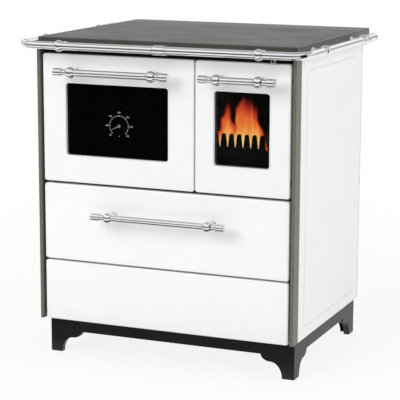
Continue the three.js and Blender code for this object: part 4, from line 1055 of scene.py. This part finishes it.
def rail_tube(name, node, side):
    """Bent tube with its end sleeve: a level straight, a quarter turn of 50 mm, a straight back, then the
    turned sleeve whose radius follows its own profile."""
    low, high = extent(node)
    height, front, reach, bend, tube, sleeve_length = RAIL_HEIGHT, RAIL_FRONT, RAIL_REACH, 50.0, 10.0, 70.0
    start = min(abs(low[0]), abs(high[0]))
    sleeve = high[1] - sleeve_length
    angle = np.linspace(-math.pi / 2, 0, 26)
    arc = np.stack([reach - bend + bend * np.cos(angle), front + bend + bend * np.sin(angle)], -1)
    path = np.concatenate(
        [[(start, front), (start + 40, front)], arc, [(reach, sleeve - 60), (reach, sleeve + 6)]]
    )
    path = np.insert(path * (side, 1), 2, height, axis=1)
    profile = [(0, 0), (tube + 0.4, 0), (12.3, 2.2), (12.3, 54), (11.0, 54.6), (11.0, 57.4), (12.3, 58)]
    profile += [(12.3, 66.2), (10.8, 68.8), (8, 70), (0, 70)]
    end = turned(eased(profile, 0.6, 4), (side * reach, sleeve, height), "y")
    return skin(name, [carried(path, tube, 48), end], bright_chrome(), sharp=50)


class STOVE_OT_rail(Operator):
    """Builds the hand rail: two bent tubes, the sleeve that joins them and six ball brackets"""

    bl_idname = "stove.rail"
    bl_label = "Hand rail"

    def execute(self, context):
        for end, side in (("left", -1), ("right", 1)):
            stands_for(rail_tube(f"rail_{end}_chrome", f"rail_tube_{end}", side), f"rail_tube_{end}")
            for where in ("front", "rear"):
                node = f"rail_bracket_{end}_{where}"
                low, high = extent(node)
                centre = np.array([side * RAIL_REACH, (low[1] + high[1]) / 2, RAIL_HEIGHT])
                shells = ball_post(centre, BALL, 6, 9.8, 5, 35, 10.15, "+x" if side > 0 else "-x")
                stands_for(skin(f"rail_ball_{end}_{where}_chrome", shells, bright_chrome(), sharp=50), node)
            node = f"rail_bracket_front_{end}"
            low, high = extent(node)
            centre = np.array([(low[0] + high[0]) / 2, RAIL_FRONT, RAIL_HEIGHT])
            shells = ball_post(centre, BALL, 6, 9.8, 5, 38, 10.15, "-y")
            stands_for(skin(f"rail_ball_front_{end}_chrome", shells, bright_chrome(), sharp=50), node)
        low, high = extent("rail_sleeve")
        half, thick = (high[0] - low[0]) / 2, (high[2] - low[2]) / 2
        profile = [
            (10.3, -half),
            (thick - 0.6, -half),
            (thick, -half + 0.6),
            (thick, half - 6.2),
            (thick - 1.4, half - 5.8),
        ]
        profile += [
            (thick - 1.4, half - 3.4),
            (thick, half - 3),
            (thick, half - 0.6),
            (thick - 0.6, half),
            (10.3, half),
        ]
        sleeve = turned(np.array(profile), (low + high) / 2, "x")
        stands_for(skin("rail_sleeve_chrome", [(sleeve, True)], bright_chrome(), sharp=50), "rail_sleeve")
        refined("draught_rod", "draught_rod_chrome", bright_chrome(), 0.4, 2)
        return {"FINISHED"}


# ---------------------------------------------------------------- windows and thermometer
def pane(name, node, material):
    """Glass pane: the window's outline at its two faces, with edges ground by 0.4 mm."""
    low, high = extent(node)
    rings = []
    for inset, depth in ((0.4, low[1]), (0, low[1] + 0.4), (0, high[1] - 0.4), (0.4, high[1])):
        plan = round_rectangle(low[0] + inset, high[0] - inset, low[2] + inset, high[2] - inset, 4)
        rings.append(np.insert(plan, 1, depth, axis=1))
    return skin(name, [np.array(rings)], material)


def arc_band(centre, radius, half_width, start, end, depth, steps=72):
    """Flat printed arc: radius plus or minus its half width, over an angle from straight up, turning
    clockwise."""
    angle = np.linspace(math.radians(start), math.radians(end), steps)
    ring = []
    for r, y in (
        (radius - half_width, 0),
        (radius + half_width, 0),
        (radius + half_width, depth),
        (radius - half_width, depth),
    ):
        ring.append(
            np.stack(
                [centre[0] + r * np.sin(angle), np.full(steps, centre[1] + y), centre[2] + r * np.cos(angle)],
                -1,
            )
        )
    return np.stack(ring, 1)


def printed_number(text, size, x, y, z, depth):
    """Text as a thin solid, centred on x and z, its face towards the front, in layout millimetres."""
    curve = bpy.data.curves.new("number", "FONT")
    curve.body, curve.size, curve.extrude = text, size / 1000, depth / 2000
    curve.align_x = curve.align_y = "CENTER"
    source = bpy.data.objects.new("number", curve)
    bpy.context.scene.collection.objects.link(source)
    bpy.context.view_layer.update()
    mesh = bpy.data.meshes.new_from_object(source.evaluated_get(bpy.context.evaluated_depsgraph_get()))
    bpy.data.objects.remove(source)
    bpy.data.curves.remove(curve)
    mesh.transform(
        Matrix.Translation(Vector(to_frame([x, y + depth / 2, z])[0])) @ Matrix.Rotation(math.pi / 2, 4, "X")
    )
    return mesh


class STOVE_OT_windows(Operator):
    """Builds the two glass panes, the oven thermometer's printed scale and its pointer"""

    bl_idname = "stove.windows"
    bl_label = "Windows and thermometer"

    def execute(self, context):
        low, high = extent("oven_door_glass")
        oven = pane("oven_glass_printed", "oven_door_glass", printed_glass())
        case_low, case_high = extent("thermometer_case")
        x, z = (case_low[0] + case_high[0]) / 2, (case_low[2] + case_high[2]) / 2
        stands_for(
            carved(oven, ((x - 3.6, low[1] - 5, z - 3.6), (x + 3.6, high[1] + 5, z + 3.6))), "oven_door_glass"
        )
        stands_for(pane("fire_glass_clear", "fire_door_glass", clear_glass()), "fire_door_glass")
        front = low[1] - 0.22
        shells = [arc_band((x, front, z), 26.5, 0.32, -135, 135, 0.2)]
        for k in range(7):
            way = math.radians(-135 + 45 * k)
            across, up = np.array([math.cos(way), 0, -math.sin(way)]), np.array(
                [math.sin(way), 0, math.cos(way)]
            )
            corners = np.array([[s * 0.4, r] for s, r in ((-1, 24.5), (1, 24.5), (1, 28.0), (-1, 28.0))])
            base = np.array([x, front, z]) + corners[:, :1] * across + corners[:, 1:] * up
            shells.append(np.stack([base, base + (0, 0.2, 0)]))
        shells.append(
            turned(
                [(0, front), (1.1, front), (1.1, front + 0.2), (0, front + 0.2)], (x, 0, z - 26.5), "y", 24
            )
        )
        scale = skin("thermometer_scale", shells, dial_print(), sharp=30, weighted=False)
        joins(scale, "oven_door")
        for k, text in enumerate(("50", "100", "150", "200", "250", "300", "350")):
            way = math.radians(-135 + 45 * k)
            mesh = printed_number(text, 5.8, x + 34.5 * math.sin(way), front, z + 34.5 * math.cos(way), 0.2)
            number = settle(mesh, f"thermometer_number_{k}", dial_print(), 30, False)
            joins(number, "oven_door")
        self.pointer()
        return {"FINISHED"}

    def pointer(self):
        """Tapered blade on a domed hub. Half width 1.5 (1 - t) + 0.6 t along the blade, turned to where it
        rests."""
        low, high = extent("thermometer_pointer")
        case_low, case_high = extent("thermometer_case")
        x, z = (case_low[0] + case_high[0]) / 2, (case_low[2] + case_high[2]) / 2
        way = math.radians(-117)
        across, up = np.array([math.cos(way), 0, -math.sin(way)]), np.array([math.sin(way), 0, math.cos(way)])
        t = np.linspace(-0.13, 1, 12)
        half = np.where(t < 0, 1.5, 1.5 - 0.9 * t)
        blade = []
        for side, y in ((-1, 0.2), (-0.7, 0), (0.7, 0), (1, 0.2), (1, 0.8), (-1, 0.8)):
            blade.append(
                np.array([x, 12.9, z]) + (side * half)[:, None] * across + (23 * t)[:, None] * up + (0, y, 0)
            )
        dome = np.linspace(0, math.pi / 2, 7)
        hub = [(3.2 * math.sin(a), 12.6 + 0.9 * (1 - math.cos(a))) for a in dome] + [
            (3.2, 13.6), (1.2, 13.7), (1.2, 16.9), (0, 16.9)
        ]
        shells = [np.stack(blade, 1), turned(hub, (x, 0, z), "y", 32)]
        stands_for(
            skin("thermometer_pointer_painted", shells, pointer_paint(), sharp=40), "thermometer_pointer"
        )


# ---------------------------------------------------------------- door ropes
class STOVE_OT_ropes(Operator):
    """Builds the braided ropes that seal both doors"""

    bl_idname = "stove.ropes"
    bl_label = "Door ropes"

    def execute(self, context):
        for name in ("oven", "fire"):
            node = f"{name}_door_seal"
            low, high = extent(node)
            radius = (high[1] - low[1]) / 2 - 0.05
            line = round_rectangle(low[0] + 3, high[0] - 3, low[2] + 3, high[2] - 3, 9, 10)
            centre = (low[1] + high[1]) / 2
            ahead = np.roll(line, -1, 0) - np.roll(line, 1, 0)
            ahead /= np.linalg.norm(ahead, axis=1, keepdims=True)
            across = np.stack([ahead[:, 1], np.zeros(len(line)), -ahead[:, 0]], -1)
            angle = np.arange(16) * 2 * math.pi / 16
            middle = np.insert(line, 1, centre, axis=1)
            rope = middle[:, None] + radius * (
                np.cos(angle)[None, :, None] * across[:, None] + np.sin(angle)[None, :, None] * np.array([0, 1.0, 0])
            )
            stands_for(skin(f"{name}_door_rope", [(rope, True)], rope_weave(), weighted=False), node)
        return {"FINISHED"}


# ---------------------------------------------------------------- fire
def flame_sheet(name, material, x0, x1, depth, thickness, top_x, top_z, phase, cool=0.0):
    """Thin closed sheet of flame: x on an even grid, y = depth plus or minus thickness * sqrt(1 - u^2), z
    rising. Its upper edge is a line through given points, swayed by sines; the heat falls with height and
    towards the edge."""
    count, rows, root = 90, 110, 556.0
    u = np.linspace(-1, 1, count)
    across = (x0 + x1) / 2 + (x1 - x0) / 2 * u
    bulge = thickness * np.sqrt(np.clip(1 - u**2, 0, 1))
    x = np.concatenate([across, across[-2:0:-1]])
    y = np.concatenate([depth - bulge, depth + bulge[-2:0:-1]])
    z = np.linspace(root, max(top_z) + 8, rows)[:, None]
    sway = 3.2 * np.sin(z / 15 + phase) + 1.6 * np.sin(z / 6.5 + 2.3 * phase) + 1.2 * np.sin(
        x / 4.0 + z / 9 + phase
    )
    edge = np.interp(x[None] + sway, top_x, top_z) + 3 * np.sin(x / 3.1 + phase)[None] + 2 * np.sin(
        x / 1.7 + z / 20
    )
    below = edge - z
    soft = 12 + 26 * np.clip((z - 600) / 110, 0, 1)
    cover = np.clip(below / soft, 0, 1)
    cover = cover * cover * (3 - 2 * cover)
    height = np.clip((z - 575) / 145, 0, 1)
    tongue = 0.5 + 0.5 * np.sin(x / 6.5 + 0.6 * np.sin(z / 17 + phase) + phase)
    heat = 1.02 - 0.86 * height**1.15 - 0.16 * tongue * height - cool + 0.06 * np.clip(below / 60, 0, 1)
    heat = heat * np.clip(0.34 + below / 72, 0.34, 1)
    fade = np.clip((z - root) / 6, 0, 1)
    points = np.stack(np.broadcast_arrays(x[None], y[None], z), -1)
    return skin(name, [points], material, {"warmth": heat, "cover": cover * fade * 0.96}, weighted=False)


class STOVE_OT_fire(Operator):
    """Builds the fire: sheets of flame, glowing embers and two charred logs"""

    bl_idname = "stove.fire"
    bl_label = "Fire"

    def execute(self, context):
        flame = flame_light()
        front_x = (
            112, 120, 130, 142, 150, 157, 163, 168, 173, 177, 181, 186, 194, 206, 216, 224, 231, 236, 241, 246
        )
        front_z = (
            572, 600, 634, 660, 684, 704, 694, 670, 652, 654, 684, 712, 724, 722, 716, 710, 704, 696, 660, 640
        )
        front_x, front_z = front_x + (254, 262, 270, 300), front_z + (618, 598, 576, 552)
        joins(flame_sheet("flame_front", flame, 113, 285, 53.2, 3.2, front_x, front_z, 0.6), "stove")
        middle_x = (136, 146, 156, 166, 176, 186, 196, 206, 216, 226, 240)
        middle_z = (580, 618, 640, 632, 656, 690, 668, 650, 622, 600, 575)
        joins(flame_sheet("flame_middle", flame, 140, 236, 100, 12, middle_x, middle_z, 2.1, 0.1), "stove")
        rear_x = (136, 144, 152, 160, 170, 178, 186, 194, 206)
        rear_z = (580, 600, 626, 640, 664, 640, 612, 590, 570)
        joins(flame_sheet("flame_rear", flame, 140, 200, 190, 14, rear_x, rear_z, 4.0, 0.2), "stove")
        for name in ("flame_front", "flame_middle", "flame_rear"):
            bpy.data.objects[name].visible_glossy = False
        self.fuel()
        return {"FINISHED"}

    def fuel(self):
        """Embers: a low mound, z = 4 + 12 (1 - u^2)(1 - v^2) plus two sine ripples. Logs: rods whose radius
        ripples."""
        angle = np.linspace(0, 2 * math.pi, 60, endpoint=False)
        share = np.linspace(0, 1, 14)[1:, None]
        u, v = share * np.cos(angle), share * np.sin(angle)
        x, y = 214 + 66 * u, 235 + 150 * v
        z = 555 + 15 * (1 - share**2) + 2.0 * np.sin(x / 5.1) * np.sin(y / 6.3) * (1 - share**6)
        upper = np.stack(np.broadcast_arrays(x, y, z), -1)
        lower = np.stack([x[-1], y[-1], np.full(60, 552.8)], -1)[None]
        joins(skin("embers", [np.concatenate([upper, lower])], ember_bed(), weighted=False), "stove")
        for name, x0, lift_z, turn in (("log_left", 186.0, 600.0, 0.10), ("log_right", 240.0, 602.0, -0.08)):
            along = np.linspace(-128, 128, 40)
            radius = 21 + 1.6 * np.sin(along / 11 + x0) + 0.9 * np.sin(along / 4.3)
            profile = np.concatenate([[(0, along[0])], np.stack([radius, along], -1), [(0, along[-1])]])
            log = turned(profile, (0, 0, 0), "y", 28)
            squash = 1 + 0.12 * np.sin(3 * np.arctan2(log[..., 2], log[..., 0]) + x0)
            log[..., 0] *= squash
            log[..., 2] *= squash
            log[..., 0] += log[..., 1] * turn
            joins(skin(name, [log + (x0, 240, lift_z - 6)], charred_wood(), weighted=False), "stove")


# ---------------------------------------------------------------- inner pieces
class STOVE_OT_inner(Operator):
    """Gives every CAD piece that stays its finish, and refines the guard behind the fire door"""

    bl_idname = "stove.inner"
    bl_label = "Inner pieces"

    def execute(self, context):
        refined("fire_guard", "fire_guard_cast", cast_iron(), 1.2, 3)
        refined("flue_collar", "flue_collar_painted", black_paint(), 0.6, 2)
        finishes = {
            galvanised_sheet: "base_pan rear_panel oven_door_liner oven_hinge_left oven_hinge_right fire_hinge_lower "
            "fire_hinge_upper drawer_box drawer_bay ash_pan thermometer_case",
            oven_enamel: "oven_box",
            bright_chrome: "oven_shelf",
            black_paint: "front_frame",
            cast_iron: "firebox_casing grate fire_door_liner flue_flap",
            sooty_brick: "firebrick_left firebrick_right firebrick_rear",
        }
        for finish, names in finishes.items():
            for name in names.split():
                mesh = frame["nodes"][name].data
                mesh.materials.clear()
                mesh.materials.append(finish())
        return {"FINISHED"}


# ---------------------------------------------------------------- studio
def seen_directly(tree):
    """1 for rays from the camera or from a mirror, 0 for light that falls on dull surfaces."""
    path = add(tree, "ShaderNodeLightPath")
    both = {0: path.outputs["Is Camera Ray"], 1: path.outputs["Is Glossy Ray"]}
    return add(tree, "ShaderNodeMath", None, both, operation="MAXIMUM").outputs[0]


def band(tree, value, low, high, soft):
    """1 between low and high, falling to 0 over the soft width on either side."""
    rise = add(
        tree,
        "ShaderNodeMapRange",
        {"From Min": low - soft, "From Max": low, "To Min": 0.0, "To Max": 1.0},
        {"Value": value},
    ).outputs[0]
    fall = add(
        tree,
        "ShaderNodeMapRange",
        {"From Min": high, "From Max": high + soft, "To Min": 1.0, "To Max": 0.0},
        {"Value": value},
    ).outputs[0]
    return add(tree, "ShaderNodeMath", None, {0: rise, 1: fall}, operation="MULTIPLY").outputs[0]


def studio_world(ambient):
    """Even light on dull surfaces. Mirrors see a grey room with a white lamp panel up in front, a lower one
    at the rear and a darker horizon in front."""
    world = bpy.data.worlds.new("studio")
    bpy.context.scene.world = world
    world.use_nodes = True
    tree = world.node_tree
    tree.nodes.clear()
    way = add(
        tree, "ShaderNodeSeparateXYZ", links={"Vector": add(tree, "ShaderNodeTexCoord").outputs["Generated"]}
    )
    front = add(
        tree,
        "ShaderNodeMapRange",
        {"From Min": -0.1, "From Max": 0.15, "To Min": 1.0, "To Max": 0.0},
        {"Value": way.outputs["Y"]},
    ).outputs[0]
    room_grey, level = 0.46, None
    for low, high, gain, rear in (
        (0.42, 0.8, 0.54, False), (0.27, 0.46, 0.5, True), (-0.2, 0.14, -0.26, False)
    ):
        side = add(
            tree,
            "ShaderNodeMapRange",
            {"From Min": 0, "From Max": 1, "To Min": 1.0, "To Max": 0.0},
            {"Value": front},
        ).outputs[0] if rear else front
        part = add(
            tree,
            "ShaderNodeMath",
            None,
            {0: band(tree, way.outputs["Z"], low, high, 0.08), 1: side},
            operation="MULTIPLY",
        )
        links = {0: part.outputs[0], 2: level} if level else {0: part.outputs[0]}
        level = add(
            tree, "ShaderNodeMath", {1: gain, 2: room_grey}, links, operation="MULTIPLY_ADD"
        ).outputs[0]
    soft = add(tree, "ShaderNodeBackground", {"Color": (1, 1, 1, 1), "Strength": ambient})
    room = add(tree, "ShaderNodeBackground", {"Color": (1, 1, 1, 1)}, {"Strength": level})
    both = add(
        tree, "ShaderNodeMixShader", links={0: seen_directly(tree), 1: soft.outputs[0], 2: room.outputs[0]}
    )
    add(tree, "ShaderNodeOutputWorld", links={"Surface": both.outputs[0]})


def flat_card(name, corners, material):
    mesh = bpy.data.meshes.new(name)
    mesh.from_pydata(corners, [], [[0, 1, 2, 3]])
    mesh.materials.append(material)
    card = bpy.data.objects.new(name, mesh)
    bpy.context.scene.collection.objects.link(card)
    return card


def studio_floor(tint):
    """Painted studio floor: matt and pale with a faint mottle. The camera sees it white a little way off,
    with the soft shadow left near the stove."""
    made, tree, shader, place = plain("matt studio floor", IOR=1.45, Roughness=0.8, Specular_IOR_Level=0.2)
    tree.links.new(
        blend_colours(tree, grain(tree, place, 300.0, 3.0), shade(tint, 0.98), tint),
        shader.inputs["Base Color"],
    )
    # Painted shade for mirrors only: they see a dark strip at the foot of the stove, where the camera sees white
    # floor, then a bright floor, then a darker room.
    off = add(tree, "ShaderNodeSeparateXYZ", links={"Vector": place}).outputs["Y"]
    ahead = add(
        tree,
        "ShaderNodeMapRange",
        {"From Min": -6.0, "From Max": 0.0, "To Min": 0.0, "To Max": 1.0},
        {"Value": off},
    ).outputs[0]
    strip = add(tree, "ShaderNodeValToRGB", links={"Fac": ahead})
    stops = strip.color_ramp.elements
    stops[0].position, stops[0].color = 0.54, (0.035, 0.035, 0.035, 1)
    stops[1].position, stops[1].color = 0.96, (0.95, 0.95, 0.95, 1)
    # The two 0.05 stops are the dark strip in front of the stove's foot: painted shade, seen only in reflections.
    for position, value in ((0.64, 0.95), (0.87, 0.95), (0.90, 0.05), (0.94, 0.05)):
        stops.new(position).color = (value, value, value, 1)
    mirrored_with_painted_shade = strip.outputs["Color"]
    away = add(tree, "ShaderNodeVectorMath", None, {0: place}, operation="LENGTH").outputs["Value"]
    share = add(
        tree,
        "ShaderNodeMapRange",
        {"From Min": 0.6, "From Max": 2.2, "To Min": 0.86, "To Max": 1.0},
        {"Value": away},
    ).outputs[0]
    path = add(tree, "ShaderNodeLightPath")
    glossy = path.outputs["Is Glossy Ray"]
    white = add(tree, "ShaderNodeMix", {2: 1.0}, {0: glossy, 3: mirrored_with_painted_shade}, data_type="FLOAT").outputs[0]
    light = add(tree, "ShaderNodeEmission", {"Color": (1, 1, 1, 1)}, {"Strength": white})
    full = add(tree, "ShaderNodeMath", None, {0: share, 1: glossy}, operation="MAXIMUM").outputs[0]
    part = add(
        tree, "ShaderNodeMath", None, {0: full, 1: seen_directly(tree)}, operation="MULTIPLY"
    ).outputs[0]
    both = add(tree, "ShaderNodeMixShader", links={0: part, 1: shader.outputs[0], 2: light.outputs[0]})
    out = next(n for n in tree.nodes if n.type == "OUTPUT_MATERIAL")
    tree.links.new(both.outputs[0], out.inputs["Surface"])
    return made


def soft_lamp(name, place, aim, size, power):
    lamp = bpy.data.lights.new(name, "AREA")
    lamp.shape, lamp.size, lamp.energy = "SQUARE", size, power
    holder = bpy.data.objects.new(name, lamp)
    holder.location = place
    holder.rotation_euler = (Vector(aim) - Vector(place)).to_track_quat("-Z", "Y").to_euler()
    holder.visible_camera = False
    holder.visible_glossy = False
    bpy.context.scene.collection.objects.link(holder)


class STOVE_OT_stage(Operator):
    """Sets up the pale floor, the soft lamps, the dark card that chrome mirrors, and the camera"""

    bl_idname = "stove.stage"
    bl_label = "Studio"

    def execute(self, context):
        studio = context.scene.stove_studio
        studio_world(studio.ambient)
        flat_card(
            "floor", [(-30, -30, 0), (30, -30, 0), (30, 30, 0), (-30, 30, 0)], studio_floor(studio.floor)
        )
        felt, tree, shader, place = plain("grey card felt", Roughness=1.0, Specular_IOR_Level=0.0)
        tree.links.new(
            blend_colours(tree, grain(tree, place, 20.0), linear("#161617"), linear("#202021")),
            shader.inputs["Base Color"],
        )
        corners = [(1.5, -1.05, 0.1), (1.5, -0.2, 0.1), (1.5, -0.2, 1.6), (1.5, -1.05, 1.6)]
        card = flat_card("card_right", corners, felt)
        card.visible_camera = card.visible_diffuse = card.visible_shadow = card.visible_transmission = False
        soft_lamp("key", (-1.6, -3.6, 2.6), (0, 0, 0.5), 2.6, studio.key)
        soft_lamp("fill", (3.4, -0.6, 1.8), (0, 0, 0.5), 2.2, studio.fill)
        soft_lamp("overhead", (0, 0.2, 3.2), (0, 0, 0.5), 2.4, studio.overhead)
        camera = bpy.data.cameras.new("camera")
        camera.sensor_width, camera.lens = 36.0, 143.49
        camera.clip_start, camera.clip_end = 0.05, 200.0
        holder = bpy.data.objects.new("camera", camera)
        pan, tilt, roll = 0.396, 0.1933, 0.0033
        ahead = Vector((-math.sin(pan) * math.cos(tilt), math.cos(pan) * math.cos(tilt), -math.sin(tilt)))
        right = Vector((math.cos(pan), math.sin(pan), 0))
        up = right.cross(ahead)
        right, up = right * math.cos(roll) + up * math.sin(roll), up * math.cos(roll) - right * math.sin(roll)
        stands, turn = Matrix.Translation((1.62414, -3.91766, 1.22731)), Matrix(
            (right, up, -ahead)
        ).transposed()
        holder.matrix_world = stands @ turn.to_4x4()
        context.scene.collection.objects.link(holder)
        context.scene.camera = holder
        context.scene.view_settings.view_transform = "Standard"
        return {"FINISHED"}


# ---------------------------------------------------------------- panel, registering and running
class STOVE_PT_panel(Panel):
    """Lists the stove's pieces and settings"""

    bl_label = "Wood cookstove"
    bl_idname = "STOVE_PT_panel"
    bl_space_type = "VIEW_3D"
    bl_region_type = "UI"
    bl_category = "Cookstove"

    def draw(self, context):
        for group in ("stove_finishes", "stove_sizes", "stove_fire", "stove_studio"):
            settings = getattr(context.scene, group)
            box = self.layout.box()
            for key in settings.__annotations__:
                box.prop(settings, key)
        for operator in OPERATORS:
            self.layout.operator(operator.bl_idname)


OPERATORS = (
    STOVE_OT_fronts,
    STOVE_OT_sides,
    STOVE_OT_hob,
    STOVE_OT_plinth,
    STOVE_OT_handles,
    STOVE_OT_rail,
    STOVE_OT_windows,
    STOVE_OT_ropes,
    STOVE_OT_fire,
    STOVE_OT_inner,
    STOVE_OT_stage,
)
GROUPS = {
    "stove_finishes": StoveFinishes,
    "stove_sizes": StoveSizes,
    "stove_fire": StoveFire,
    "stove_studio": StoveStudio,
}


def register():
    for made in (*GROUPS.values(), *OPERATORS, STOVE_PT_panel):
        bpy.utils.register_class(made)
    for name, group in GROUPS.items():
        setattr(bpy.types.Scene, name, PointerProperty(type=group))


def unregister():
    for name in GROUPS:
        delattr(bpy.types.Scene, name)
    for made in reversed((*GROUPS.values(), *OPERATORS, STOVE_PT_panel)):
        bpy.utils.unregister_class(made)


def main():
    register()
    for operator in OPERATORS:
        group, name = operator.bl_idname.split(".")
        getattr(getattr(bpy.ops, group), name)()
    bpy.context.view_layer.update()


if __name__ == "__main__":
    main()
